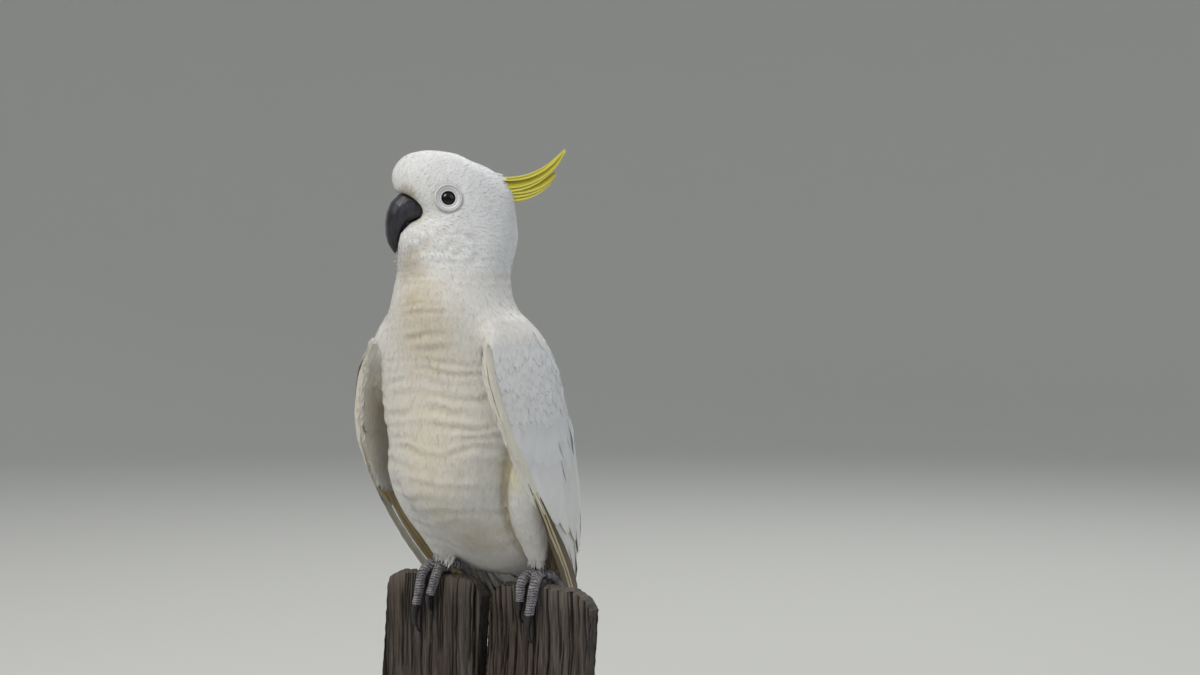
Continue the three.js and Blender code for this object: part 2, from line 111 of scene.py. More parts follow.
# %% Camera
AZIMUTH, DISTANCE, EYE_LEVEL = math.radians(34), 1.85, 0.389
LENS = 72.4
AIM_RIGHT, AIM_DOWN = math.radians(2.68), math.radians(1.365)

camera = bpy.data.objects.new("camera", bpy.data.cameras.new("camera"))
bpy.context.scene.collection.objects.link(camera)
bpy.context.scene.camera = camera
camera.data.lens = LENS
camera.data.clip_start, camera.data.clip_end = 0.05, 50
camera.location = (math.sin(AZIMUTH) * DISTANCE, -math.cos(AZIMUTH) * DISTANCE, EYE_LEVEL)
heading = AZIMUTH - AIM_RIGHT
look = Vector((-math.sin(heading), math.cos(heading), -math.tan(AIM_DOWN)))
camera.rotation_euler = look.to_track_quat("-Z", "Y").to_euler()

# %% [markdown]
# A material here is a few nodes linked in code. One small function adds a node and feeds its
# inputs. Colours are written as sRGB hex values and turned into the light that they stand for.

# %% Tools for materials


def linear(colour):
    """An sRGB hex colour such as "#C8B070" as the linear values that a shader works with."""
    parts = [int(colour[i : i + 2], 16) / 255 for i in (1, 3, 5)]
    return [c / 12.92 if c <= 0.04045 else ((c + 0.055) / 1.055) ** 2.4 for c in parts] + [1.0]


def feed(tree, made, inputs):
    """Gives each input, by name or number, a value, or the node or output that it comes from."""
    for name, value in inputs.items():
        if isinstance(value, bpy.types.Node):
            value = value.outputs[0]
        if isinstance(value, bpy.types.NodeSocket):
            tree.links.new(value, made.inputs[name])
        else:
            made.inputs[name].default_value = value


def node(tree, kind, inputs=None, **settings):
    """Adds one node with its settings and feeds its inputs."""
    made = tree.nodes.new("ShaderNode" + kind)
    for name, value in settings.items():
        setattr(made, name, value)
    feed(tree, made, inputs or {})
    return made


def new_material(name):
    """An empty material with its output; returns the material, its node tree and its shader."""
    material = bpy.data.materials.new(name)
    material.use_nodes = True
    tree = material.node_tree
    tree.nodes.clear()
    shader = node(tree, "BsdfPrincipled")
    node(tree, "OutputMaterial", {"Surface": shader})
    return material, tree, shader


# %% [markdown]
# Meshes are made from whole arrays, because a coat has tens of thousands of points and a loop
# over them would be slow. Numbers that a material needs at each place are stored with the points.

# %% Tools for meshes


def add_facts(mesh, facts):
    """Stores numbers at the mesh's points, for a material to read."""
    for name, values in facts.items():
        attribute = mesh.attributes.new(name, "FLOAT", "POINT")
        attribute.data.foreach_set("value", np.asarray(values, np.float32).ravel())


def tube_faces(rows, ring):
    """Faces between rows of points, each row a closed ring."""
    i, j = np.meshgrid(np.arange(rows - 1), np.arange(ring), indexing="ij")
    k = (j + 1) % ring
    faces = np.stack([i * ring + j, i * ring + k, (i + 1) * ring + k, (i + 1) * ring + j], -1)
    return faces.reshape(-1, 4)


def shown(name, mesh, material, slot=None, stands_for=()):
    """An object for a mesh. With a slot it rides on the model and stands for the given solids."""
    mesh.materials.clear()
    mesh.materials.append(material)
    mesh.polygons.foreach_set("use_smooth", np.ones(len(mesh.polygons), bool))
    piece = bpy.data.objects.new(name, mesh)
    bpy.context.scene.collection.objects.link(piece)
    if slot:
        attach(piece, "root")
    if stands_for:
        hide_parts(*stands_for)
    return piece


def mesh_object(name, points, faces, material, slot=None, stands_for=()):
    """A mesh from an array of points and one of four-sided faces, and its object."""
    mesh = bpy.data.meshes.new(name)
    mesh.vertices.add(len(points))
    mesh.vertices.foreach_set("co", np.asarray(points, np.float32).ravel())
    mesh.loops.add(faces.size)
    mesh.loops.foreach_set("vertex_index", faces.astype(np.int32).ravel())
    mesh.polygons.add(len(faces))
    mesh.polygons.foreach_set("loop_start", np.arange(0, faces.size, 4, dtype=np.int32))
    mesh.update(calc_edges=True)
    return shown(name, mesh, material, slot, stands_for)


def lathe(profile, sides):
    """Points and faces of a surface turned about Z through (radius, height) points."""
    turns = np.arange(sides) * 2 * math.pi / sides
    profile = np.asarray(profile)
    points = np.stack([
        profile[:, :1] * np.cos(turns), profile[:, :1] * np.sin(turns),
        np.repeat(profile[:, 1:], sides, 1)], -1).reshape(-1, 3)
    return points, tube_faces(len(profile), sides)


# %% [markdown]
# The stage is a pale floor that curves up into a wall all round, so that no horizon line cuts the
# picture. It is one turned shape in matt paper.

# %% Stage
matt_paper, tree, shader = new_material("matt_studio_paper")
feed(tree, shader, {"Base Color": linear("#C6C7C3"), "Roughness": 0.9})
FLOOR_RADIUS, BEND, WALL = 3.6, 1.6, 3.2
bend = [(FLOOR_RADIUS + BEND * math.sin(a), BEND * (1 - math.cos(a)))
        for a in np.linspace(0, math.pi / 2, 14)]
stage_profile = [(0.001, 0.0), (1.0, 0.0), *bend, (FLOOR_RADIUS + BEND, WALL)]
stage = mesh_object("stage_floor", *lathe(stage_profile, 96), matt_paper)
stage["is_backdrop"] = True

# %% [markdown]
# Soft daylight from the upper left is the main light, a weaker and slightly blue one fills from
# the right, as open sky would, and a third from behind draws the light rim on the plumage.

# %% Light


def soft_light(name, azimuth, elevation, distance, size, power, colour):
    """A square area light that looks at the bird's middle."""
    lamp = bpy.data.lights.new(name, "AREA")
    lamp.size, lamp.energy = size, power
    lamp.color = linear(colour)[:3]
    made = bpy.data.objects.new(name, lamp)
    bpy.context.scene.collection.objects.link(made)
    a, e = math.radians(azimuth), math.radians(elevation)
    away = Vector((math.sin(a) * math.cos(e), -math.cos(a) * math.cos(e), math.sin(e)))
    made.location = Vector((0, 0, 0.3)) + away * distance
    made.rotation_euler = (-away).to_track_quat("-Z", "Y").to_euler()


soft_light("key_light", -8, 50, 2.4, 1.1, 33, "#FFFAF3")
soft_light("sky_fill", 88, 32, 2.6, 1.6, 9, "#E4EDFF")
soft_light("rim_light", 190, 48, 2.6, 1.0, 22, "#FFFFFF")
world = bpy.data.worlds.new("pale_room")
bpy.context.scene.world = world
world.use_nodes = True
room_light = world.node_tree.nodes["Background"].inputs
room_light["Color"].default_value = linear("#EDEFF2")
room_light["Strength"].default_value = 0.52
bpy.context.scene.view_settings.view_transform = "Standard"

# %% [markdown]
# ## The skin
# A plucked bird is smaller than a feathered one, so the skin lies inside the solids by the depth
# of the coat. Copies of the fleshy solids are grown until they fuse, turned into one even mesh
# by a voxel remesh, smoothed, and drawn in, less where a wing is thin. Remeshing again after that
# cleans every fold. It is quicker and safer than joining the solids with booleans, and leaves no
# seam. Where feathers would bridge a dip, at the shoulders and along the wings, the skin is
# smoothed much further, so that they have a ground to lie on.

# %% Tools for working on meshes


def copied(names, grow=0.0, above=None):
    """The named solids as one mesh with shared vertices, each grown along its normals."""
    joined = bmesh.new()
    for name in names:
        one = bmesh.new()
        one.from_mesh(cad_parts[name].data)
        bmesh.ops.remove_doubles(one, verts=one.verts, dist=0.02 * MM)
        if above is not None and name in above:
            cut = bmesh.ops.bisect_plane(
                one, geom=one.verts[:] + one.edges[:] + one.faces[:],
                plane_co=(0, 0, above[name]), plane_no=(0, 0, -1), clear_outer=True)
            edges = [e for e in cut["geom_cut"] if isinstance(e, bmesh.types.BMEdge)]
            bmesh.ops.holes_fill(one, edges=edges)
        bmesh.ops.recalc_face_normals(one, faces=one.faces)
        one.normal_update()
        for v in one.verts:
            v.co += v.normal * grow
        part = bpy.data.meshes.new("part")
        one.to_mesh(part)
        one.free()
        joined.from_mesh(part)
        bpy.data.meshes.remove(part)
    mesh = bpy.data.meshes.new("copy")
    joined.to_mesh(mesh)
    joined.free()
    return mesh


def remeshed(mesh, voxel):
    """One even closed mesh round everything that the given one encloses."""
    holder = bpy.data.objects.new("holder", mesh)
    bpy.context.scene.collection.objects.link(holder)
    modifier = holder.modifiers.new("even", "REMESH")
    modifier.mode, modifier.voxel_size = "VOXEL", voxel
    graph = bpy.context.evaluated_depsgraph_get()
    even = bpy.data.meshes.new_from_object(holder.evaluated_get(graph))
    bpy.data.objects.remove(holder)
    bpy.data.meshes.remove(mesh)
    return even


def read(mesh, what, count=3, kind=np.float32, of="vertices"):
    """One property of all of a mesh's vertices, edges or polygons as an array."""
    items = getattr(mesh, of)
    out = np.zeros(len(items) * count, kind)
    items.foreach_get(what, out)
    return out.reshape(-1, count)


def smoothed(mesh, rounds):
    """Moves each vertex half way to the middle of its neighbours, a number of times."""
    points = read(mesh, "co").astype(float)
    edges = read(mesh, "vertices", 2, np.int32, "edges")
    ends = np.concatenate([edges, edges[:, ::-1]])
    share = np.bincount(ends[:, 0], minlength=len(points))[:, None]
    for _ in range(rounds):
        total = np.stack([np.bincount(ends[:, 0], points[ends[:, 1], i], len(points))
                          for i in range(3)], 1)
        points += 0.5 * (total / np.maximum(share, 1) - points)
    mesh.vertices.foreach_set("co", points.astype(np.float32).ravel())
    mesh.update()
    return mesh


def search_tree(mesh):
    """A tree of an even mesh's faces that finds nearest points and hits."""
    corners = read(mesh, "vertices", 4, np.int32, "polygons")
    return BVHTree.FromPolygons(read(mesh, "co").tolist(), corners.tolist())


def pushed(mesh, distance):
    """Moves each vertex along its normal by its distance."""
    points, normals = read(mesh, "co"), read(mesh, "normal")
    mesh.vertices.foreach_set("co", (points + normals * distance[:, None]).ravel())
    mesh.update()
    return mesh


def ramp(value, low, high):
    """0 up to low, 1 from high, and smooth between them."""
    t = np.clip((value - low) / (high - low), 0, 1)
    return t * t * (3 - 2 * t)


# %% One skin from the fleshy solids
FLESH = ("head", "neck", "trunk", "thigh_left", "thigh_right", "wing_left", "wing_right")
WING_FLESH_FROM = PERCH + 62 * MM
FUSE = 0.5 * MM


def noise_waves(points, length, seed):
    """A smooth random field between about -1 and 1, made of sine waves near one length."""
    rng, count = np.random.default_rng(seed), 12
    runs = unit(rng.normal(size=(count, 3))) / (length * rng.uniform(0.75, 1.3, (count, 1)))
    phases = 2 * math.pi * (points @ runs.T + rng.random(count))
    return np.sin(phases).sum(1) / math.sqrt(count)


def coat_depth(points):
    """How far the skin lies inside the solids: least on the face, most on neck and breast."""
    forward = in_head(points)[:, 0]
    on_head = ramp(points[:, 2], PERCH + 228 * MM, PERCH + 262 * MM)
    face = on_head * ramp(forward, -6 * MM, 16 * MM)
    return (1.9 * (1 - on_head) + 0.95 * on_head - 0.2 * face) * MM


def wall_thickness(mesh):
    """How thick the solid is below each vertex, measured straight inwards."""
    points, normals = read(mesh, "co"), read(mesh, "normal")
    tree = search_tree(mesh)
    starts = points - normals * 0.1 * MM
    return np.array([tree.ray_cast(p, n, 0.1)[3] or 0.1
                     for p, n in zip(starts.tolist(), (-normals).tolist())])


LEAST_WALL = 5 * MM
body_form = smoothed(remeshed(copied(FLESH, FUSE, {
    "wing_left": WING_FLESH_FROM, "wing_right": WING_FLESH_FROM}), 1.8 * MM), 8)
depth = np.minimum(coat_depth(read(body_form, "co")), (wall_thickness(body_form) - LEAST_WALL) / 2)
skin_mesh = pushed(body_form, -np.maximum(depth, 0) - FUSE)
skin_mesh = smoothed(remeshed(skin_mesh, 1.9 * MM), 6)


def band(values, start, full_from, full_to, end):
    """0 up to start, 1 from full_from to full_to, 0 again from end on (all in millimetres)."""
    return ramp(values / MM, start, full_from) * (1 - ramp(values / MM, full_to, end))


def shoulder_share(points):
    """1 over the dip between the neck and the shoulders."""
    return band(points[:, 2] - PERCH, 160, 185, 222, 240) * ramp(np.abs(points[:, 0]), 12 * MM,
                                                                 26 * MM)


def mantle_share(points):
    """1 over the furrows between the back and the folded wings."""
    return band(points[:, 2] - PERCH, 80, 105, 205, 225) * ramp(points[:, 1], 4 * MM, 20 * MM)


def right_flank_share(points):
    """1 where the right thigh is hidden in the feathers of the belly."""
    return band(points[:, 2] - PERCH, 18, 34, 112, 130) * ramp(-points[:, 0], 6 * MM, 22 * MM)


before = read(skin_mesh, "co")
share = np.maximum(shoulder_share(before), right_flank_share(before))
share = np.maximum(share, mantle_share(before))[:, None]
relaxed = read(smoothed(skin_mesh, 60), "co")  # the dips fill up, as feathers would fill them
merged = before + (relaxed - before) * share
skin_mesh.vertices.foreach_set("co", merged.astype(np.float32).ravel())
skin_mesh.update()
print("skin:", len(skin_mesh.polygons), "faces")

# %% [markdown]
# Plumage isn't smooth. On the breast the loose feather tips gather in soft ruffles that run
# across the body, finer ones ring the neck, and the cheeks carry round tufts. These swellings are
# put into the skin, and the feathers that are laid on it later follow them.

# %% Ruffles, tufts and creases
ROW_HEIGHTS, ROW_LENGTHS = (-40, 60, 140, 200, 215, 260), (13, 12, 10.5, 8, 5.5, 5)
steps = np.arange(-40, 261)
row_count = np.cumsum(1 / np.interp(steps, ROW_HEIGHTS, ROW_LENGTHS))


def ruffles(points):
    """Irregular rows across the body, each steeper on its lower side, between -1 and 1."""
    up = (points[:, 2] - PERCH) / MM
    flat = points * [1, 1, 1.7]
    rows = np.interp(up, steps, row_count) + 0.33 * noise_waves(flat, 66 * MM, 3)
    phase = 2 * math.pi * rows + 0.5 * noise_waves(points, 18 * MM, 6)
    strength = np.clip(0.55 + 0.5 * noise_waves(flat, 40 * MM, 4), 0.0, 1.2)
    return np.sin(phase + 0.5 * np.sin(phase)) * strength


def even_tree(*names):
    """The named solids as one even surface to measure distances from."""
    return search_tree(remeshed(copied(names), 1.6 * MM))


SOLID = {"body": even_tree("trunk", "neck", "head"),
         "thighs": even_tree("thigh_left", "thigh_right"),
         "wings": even_tree("wing_left", "wing_right")}


def distance_to(part, points):
    return np.array([SOLID[part].find_nearest(p)[3] for p in points.tolist()])


def wing_share(points):
    """0 on the body and 1 on the wings."""
    return ramp(distance_to("body", points) - distance_to("wings", points), -1 * MM, 4 * MM)


def thigh_share(points):
    """0 on the body and 1 on the thighs."""
    return ramp(distance_to("body", points) - distance_to("thighs", points), 0, 4 * MM)


def crest_root_share(points):
    """1 along the line behind the crown where the crest leaves the head."""
    forward, left, up = in_head(points).T / MM
    along = np.clip((27 - up) / 22, 0, 1)
    apart = np.hypot(forward + 36 + 15 * along, up - 27 + 22 * along)
    return np.exp(-((apart / 10) ** 2) - (left / 8) ** 2)


def cheek_share(points):
    """1 in the middle of the cheeks, where round tufts grow."""
    forward, left, head_up = in_head(points).T
    inside = ramp(head_up, -50 * MM, -42 * MM) * (1 - ramp(head_up, -28 * MM, -18 * MM))
    inside *= ramp(forward, -22 * MM, -12 * MM)
    return inside * ramp(np.abs(left), 6 * MM, 12 * MM)


def swelling(points):
    """Height of ruffles and cheek tufts above the plain skin."""
    up = (points[:, 2] - PERCH) / MM
    size = np.interp(up, (-20, 30, 150, 200, 215, 246, 262), (0.7, 0.8, 0.9, 0.75, 0.65, 0.5, 0))
    behind = ramp(points[:, 1], -30 * MM, 10 * MM)
    smooth = np.maximum(0.9 * wing_share(points), 0.8 * thigh_share(points))
    smooth = np.maximum(smooth, 0.8 * shoulder_share(points))
    ruffled = size * (1 - 0.6 * behind) * (1 - smooth) * ruffles(points)
    cheeks = cheek_share(points)
    rng = np.random.default_rng(5)
    middles = rng.permutation(points[cheeks > 0.3])[:70]
    tufts, near = np.zeros(len(points)), cheeks > 0
    for middle in middles:
        apart = np.linalg.norm(points[near] - middle, axis=1)
        tufts[near] = np.maximum(tufts[near], np.exp(-((apart / (3.0 * MM)) ** 2)))
    return (ruffled + cheeks * (2.2 * tufts - 0.9) + 3.4 * crest_root_share(points)) * MM


def crease(points):
    """1 in the fold where a thigh meets the body, 0 away from it."""
    apart = np.maximum(distance_to("body", points), distance_to("thighs", points))
    return (1 - ramp(apart, 1.8 * MM, 5.5 * MM)) * ramp(points[:, 0], -20 * MM, 10 * MM)


CREASE_DEPTH = 3.6 * MM
skin_points = read(skin_mesh, "co").astype(float)
skin_swelling, skin_crease = swelling(skin_points), crease(skin_points)
pushed(skin_mesh, skin_swelling - CREASE_DEPTH * skin_crease)
skin_mesh = smoothed(skin_mesh, 1)
# painted shade: the plumage is tinted warm beige by this much in the thigh creases and in the
# troughs of the ruffles and cheek tufts
skin_painted_hollow_shade = np.clip(1.6 * skin_crease - skin_swelling / (1.2 * MM), 0, 1.5)
add_facts(skin_mesh, {"hollow": skin_painted_hollow_shade})

# %% [markdown]
# Everything on the bird is placed by asking the nearest point of a surface: where it is, which
# way it faces, and where it lies on an unwrap. A search tree answers that quickly.

# %% Surfaces that feathers can be laid on


class Surface:
    """A mesh that can be asked for its nearest points, their normals and unwrapped places."""

    def __init__(self, mesh):
        self.points = read(mesh, "co").astype(float)
        self.normals = read(mesh, "normal").astype(float)
        self.corners = read(mesh, "vertices", 4, np.int32, "polygons")
        self.tree = search_tree(mesh)
        self.unwrap = None

    def nearest(self, points):
        """Nearest places, smooth normals and places on the unwrap (or None)."""
        found = [self.tree.find_nearest(p) for p in points.reshape(-1, 3).tolist()]
        places = np.array([f[0] for f in found])
        faces = np.array([f[2] for f in found])
        corners = self.corners[faces]
        gaps = np.linalg.norm(self.points[corners] - places[:, None], axis=-1)
        weights = 1 / (gaps + 0.01 * MM)
        weights /= weights.sum(1, keepdims=True)
        facing = unit((self.normals[corners] * weights[..., None]).sum(1))
        unwrapped = None
        if self.unwrap is not None:
            unwrapped = (self.unwrap[faces] * weights[..., None]).sum(1)
        return places.reshape(points.shape), facing.reshape(points.shape), unwrapped

    def sampled(self, points, values):
        """A value that is known at the mesh's vertices, at the places nearest to points."""
        faces = [self.tree.find_nearest(p)[2] for p in points.reshape(-1, 3).tolist()]
        return values[self.corners[faces]].mean(1).reshape(points.shape[:-1])

    def distance(self, points):
        return np.array([self.tree.find_nearest(p)[3] for p in points.tolist()])


def scattered(surface, wanted, spacing, seed):
    """Evenly spaced random places on the part of a surface where wanted(points) holds."""
    rng = np.random.default_rng(seed)
    quads = surface.points[surface.corners]
    crossed = np.cross(quads[:, 2] - quads[:, 0], quads[:, 3] - quads[:, 1])
    areas = np.linalg.norm(crossed, axis=1) / 2 * wanted(quads.mean(1))
    tries = int(areas.sum() / spacing**2 * 6)
    faces = rng.choice(len(quads), tries, p=areas / areas.sum())
    a, b = rng.random((2, tries, 1))
    picked = quads[faces]
    places = ((picked[:, 0] * (1 - a) + picked[:, 1] * a) * (1 - b)
              + (picked[:, 3] * (1 - a) + picked[:, 2] * a) * b)
    cells, kept = {}, []
    keys = np.floor(places / spacing).astype(int).tolist()
    around = [(i, j, k) for i in (-1, 0, 1) for j in (-1, 0, 1) for k in (-1, 0, 1)]
    for number, ((i, j, k), place) in enumerate(zip(keys, places.tolist())):
        near = [q for di, dj, dk in around for q in cells.get((i + di, j + dj, k + dk), ())]
        if all(math.dist(place, q) > spacing for q in near):
            cells.setdefault((i, j, k), []).append(place)
            kept.append(number)
    return places[kept]


# %% [markdown]
# The skin is unwrapped once. Every small feather later keeps a tiny patch of the unwrap at the
# place of its root, so that a texture baked from the unwrap gives it the colour of that place.

# %% Unwrap the skin
skin = bpy.data.objects.new("skin", skin_mesh)
bpy.context.scene.collection.objects.link(skin)
skin_mesh.polygons.foreach_set("use_smooth", np.ones(len(skin_mesh.polygons), bool))
bpy.context.view_layer.objects.active = skin
skin.select_set(True)
skin_mesh.uv_layers.new(name="OFBake")
bpy.ops.object.mode_set(mode="EDIT")
bpy.ops.mesh.select_all(action="SELECT")
bpy.ops.uv.smart_project(angle_limit=math.radians(66), island_margin=0.004)
bpy.ops.object.mode_set(mode="OBJECT")
skin.select_set(False)
skin_surface = Surface(skin_mesh)
spots = np.zeros(len(skin_mesh.loops) * 2, np.float32)
skin_mesh.uv_layers["OFBake"].uv.foreach_get("vector", spots)
skin_surface.unwrap = spots.reshape(-1, 4, 2).astype(float)
print("unwrapped; patches run from", spots.min().round(3), "to", spots.max().round(3))

# %% [markdown]
# ## White plumage
# Each feather is keratin with no pigment. Countless air-filled barbs scatter light, so it looks
# soft, matt and bright, with a faint sheen at grazing angles. The white isn't even: preen oil and
# dust turn throat and belly creamy, and the breast's cream is partly painted warm light. Painted
# shade darkens each feather towards its root and tints the creases and the troughs of the ruffles
# warm beige. Painted shadows lie under the chin and low on the belly, and the head and wings carry
# a painted cool cast of skylight. Skin and feathers share one colour recipe, worked out from the
# place on the bird, so that nothing shows through a gap.

# %% Colours from the place on the bird
KERATIN_IOR = 1.55
BARB_STEP = 1.1 * MM  # real barbs are about 0.3 mm apart, drawn coarser so that they can show


def spot(tree, place, middle, radius, softness, squash):
    """1 near a middle point and 0 beyond a radius, with the edge broken up by noise."""
    scaled = node(tree, "VectorMath", {0: place, 1: squash}, operation="MULTIPLY")
    target = [m * s for m, s in zip(middle, squash)]
    apart = node(tree, "VectorMath", {0: scaled, 1: target}, operation="DISTANCE")
    ragged = node(tree, "TexNoise", {"Vector": place, "Scale": 1 / (9 * MM), "Detail": 3.0})
    bent = node(tree, "Math", {0: ragged, 1: radius * 0.5, 2: apart.outputs["Value"]},
                operation="MULTIPLY_ADD")
    near, far = radius * (1.25 - softness), radius * 1.25
    return node(tree, "MapRange", {"Value": bent, "From Min": near, "From Max": far, "To Min": 1.0,
                                   "To Max": 0.0}, interpolation_type="SMOOTHSTEP")


def tinted(tree, base, tint, amount, mask):
    """base turned towards a tint by amount where mask is 1."""
    share = node(tree, "Math", {0: mask, 1: amount}, operation="MULTIPLY")
    mixed = node(tree, "Mix", {"Factor": share, 6: base, 7: linear(tint)}, data_type="RGBA")
    return mixed.outputs[2]


def above_perch(x, y, up):
    """A place given in millimetres, with its height counted from the perch line."""
    return (x * MM, y * MM, PERCH + up * MM)


def on_head(forward, left, up):
    """A place on the head in millimetres from the point between the eyes."""
    return tuple(EYES_MIDDLE + from_head(forward * MM, left * MM, up * MM))


# Each mark: middle, radius, tint, strength, softness, and how much each axis is stretched.
MARKS = (
    # the breast's warm cream: partly its own colour, partly painted warm light
    (above_perch(4, -98, 122), 92 * MM, "#EBDFC2", 0.4, 0.95, (1, 1, 0.7)),
    (above_perch(2, -92, 198), 44 * MM, "#DCC596", 0.34, 0.9, (1, 1, 0.8)),
    # the next two marks are painted shadow below the near cheek and under the chin
    (on_head(24, 14, -49), 25 * MM, "#98824F", 0.55, 0.95, (1, 1, 1.3)),
    (on_head(16, 20, -70), 25 * MM, "#BFA873", 0.5, 0.95, (1, 1, 1.1)),
    (on_head(30, 13, 3), 12 * MM, "#A88E60", 0.62, 0.8, (1, 1, 1)),
    (on_head(30, -13, 3), 12 * MM, "#A88E60", 0.62, 0.8, (1, 1, 1)),
    (on_head(22, 16, -12), 10 * MM, "#E6DDB8", 0.6, 0.85, (1, 1, 1)),
    (above_perch(-6, -70, 96), 50 * MM, "#E2D6B4", 0.25, 0.9, (1.3, 1, 0.6)),
    # painted shade low on the belly, between the thighs just above the fence
    (above_perch(14, -40, 22), 44 * MM, "#AC9566", 0.5, 0.9, (1, 1, 1)),
    (above_perch(50, -42, 86), 13 * MM, "#E6E0A0", 0.42, 0.95, (1, 1, 0.6)),
    (above_perch(-62, -30, 138), 52 * MM, "#F3E6C8", 0.5, 0.9, (1, 1, 0.6)),
)


def plumage_colour(tree, base, deep):
    """The colour of the plumage at its place: white, streaks, marks, and painted warm shade in the
    hollows.
    """
    place = node(tree, "TexCoord").outputs["Object"]
    upright = node(tree, "VectorMath", {0: place, 1: (1, 1, 0.22)}, operation="MULTIPLY")
    streaks = node(tree, "TexNoise", {"Vector": upright, "Scale": 1 / (7 * MM), "Detail": 4.0,
                                      "Roughness": 0.6})
    dusty = node(tree, "MapRange", {"Value": streaks, "From Min": 0.45, "From Max": 0.72,
                                    "To Max": 0.5})
    colour = tinted(tree, linear(base), deep, 1.0, dusty)
    for middle, radius, tint, amount, softness, squash in MARKS:
        mask = spot(tree, place, middle, radius, softness, squash)
        colour = tinted(tree, colour, tint, amount, mask)
    # painted shade: warm beige in the creases and in the troughs of the ruffles and tufts
    hollow = node(tree, "Attribute", attribute_name="hollow").outputs["Fac"]
    return tinted(tree, colour, "#BFAE86", 0.42, hollow)


def finish_plumage(tree, shader, colour, relief, roughness=0.62):
    """Adds each feather's own shade, painted shade towards its root, the barbs and the soft gloss
    of keratin.
    """
    shade, along, across, reach = (node(tree, "Attribute", attribute_name=name).outputs["Fac"]
                                   for name in ("shade", "along", "across", "reach"))
    # painted shade: each feather is darker towards its root, where the feathers over it would shade
    # it
    painted_root_shade = node(tree, "MapRange", {"Value": along, "From Min": 0.1, "From Max": 0.7,
                                      "To Min": 0.86, "To Max": 1.0})
    varied = node(tree, "Math", {0: shade, 1: 0.07, 2: 0.93}, operation="MULTIPLY_ADD")
    bright = node(tree, "Math", {0: painted_root_shade, 1: varied}, operation="MULTIPLY")
    shaded = node(tree, "VectorMath", {0: colour, "Scale": bright}, operation="SCALE")
    # barbs leave the shaft at a slant, so their phase runs with along and with the way to the edge
    slant = node(tree, "Math", {0: across}, operation="ABSOLUTE")
    phase = node(tree, "Math", {0: slant, 1: -4 * MM, 2: reach}, operation="MULTIPLY_ADD")
    turns = node(tree, "Math", {0: phase, 1: 2 * math.pi / BARB_STEP}, operation="MULTIPLY")
    barbs = node(tree, "Math", {0: turns}, operation="SINE")
    bump = node(tree, "Bump", {"Height": barbs, "Strength": relief, "Distance": 0.12 * MM})
    feed(tree, shader, {"Base Color": shaded, "Normal": bump, "Roughness": roughness,
                        "IOR": KERATIN_IOR, "Specular IOR Level": 0.35, "Sheen Weight": 0.25,
                        "Sheen Roughness": 0.45})


def plumage(name, base, deep, relief=0.25):
    """A whole plumage material in one of the bird's whites."""
    material, tree, shader = new_material(name)
    finish_plumage(tree, shader, plumage_colour(tree, base, deep), relief)
    return material


# The head and wing whites are a touch cooler than the body's: painted shade, a cool cast that
# stands for skylight on them.
body_white = plumage("body_plumage_white", "#E9E8E5", "#DFDCD4")
head_white_painted_sky_shade = plumage("head_plumage_white_painted_sky_shade", "#E8E9EA", "#DDDDDB", 0.12)
wing_white_painted_sky_shade = plumage("wing_plumage_white_painted_sky_shade", "#E8E9EA", "#DBDDDF", 0.2)
edge_cream = plumage("wing_edge_plumage_cream", "#EDE9DD", "#E3DAC6", 0.1)
underwing_cream = plumage("underwing_plumage_cream", "#ECEBE8", "#E0DED8", 0.2)
skin_mesh.materials.append(body_white)

# %% [markdown]
# ## Building feathers
# A feather here is a thin closed vane: rings of points, an arched top and a flatter underside,
# strung along a middle line that walks over the skin. All the feathers of one coat share one set
# of array sums, which makes ten thousand of them in a second. Particle hair would be quicker to
# set up, but it isn't a mesh that other programs can open.

# %% Walk middle lines over a surface


def laid(surface, roots, ahead, lengths, rows):
    """Middle lines that start at roots, leave along ahead and stay on the surface."""
    places, facing, _ = surface.nearest(roots)
    step = (lengths / (rows - 1))[:, None]
    line, normals = [places], [facing]
    for _ in range(rows - 1):
        ahead = unit(ahead - (ahead * facing).sum(-1, keepdims=True) * facing)
        moved, facing, _ = surface.nearest(places + ahead * step)
        ahead = unit(moved - places)
        places = moved
        line.append(places)
        normals.append(facing)
    return np.stack(line, 1), np.stack(normals, 1)


# %% Turn middle lines into vanes
# Each style: widths along the feather as shares of the half width, and places across its top.
STYLES = {
    "plush": ((0.5, 0.95, 0.9, 0.25), (-1, 0, 1), 1),
    "plume": ((0.4, 0.85, 1.0, 0.9, 0.58, 0.12), (-1, 0, 1), 1),
    "contour": ((0.3, 0.75, 1.0, 1.0, 0.82, 0.5, 0.1), (-1, -0.5, 0, 0.5, 1), 1),
    "covert": ((0.35, 0.8, 1.0, 1.0, 0.98, 0.86, 0.6, 0.12), (-1, -0.5, 0, 0.5, 1), 1),
    "fan": ((0.1, 0.25, 0.4, 0.55, 0.7, 0.85, 0.95, 1.0, 1.0, 0.85, 0.62, 0.36, 0.1),
            (-1, -0.5, 0, 0.5, 1), 1),
    "crest": ((0.5, 0.85, 1.0, 1.0, 1.0, 0.98, 0.94, 0.88, 0.8, 0.7, 0.58, 0.44, 0.2),
              (-1, -0.5, 0, 0.5, 1), 1),
    "quill": ((0.35, 0.7, 0.92, 1.0, 1.0, 1.0, 1.0, 0.98, 0.94, 0.86, 0.72, 0.5, 0.15),
              (-1, -0.55, -0.09, 0, 0.09, 0.55, 1), 3),
}


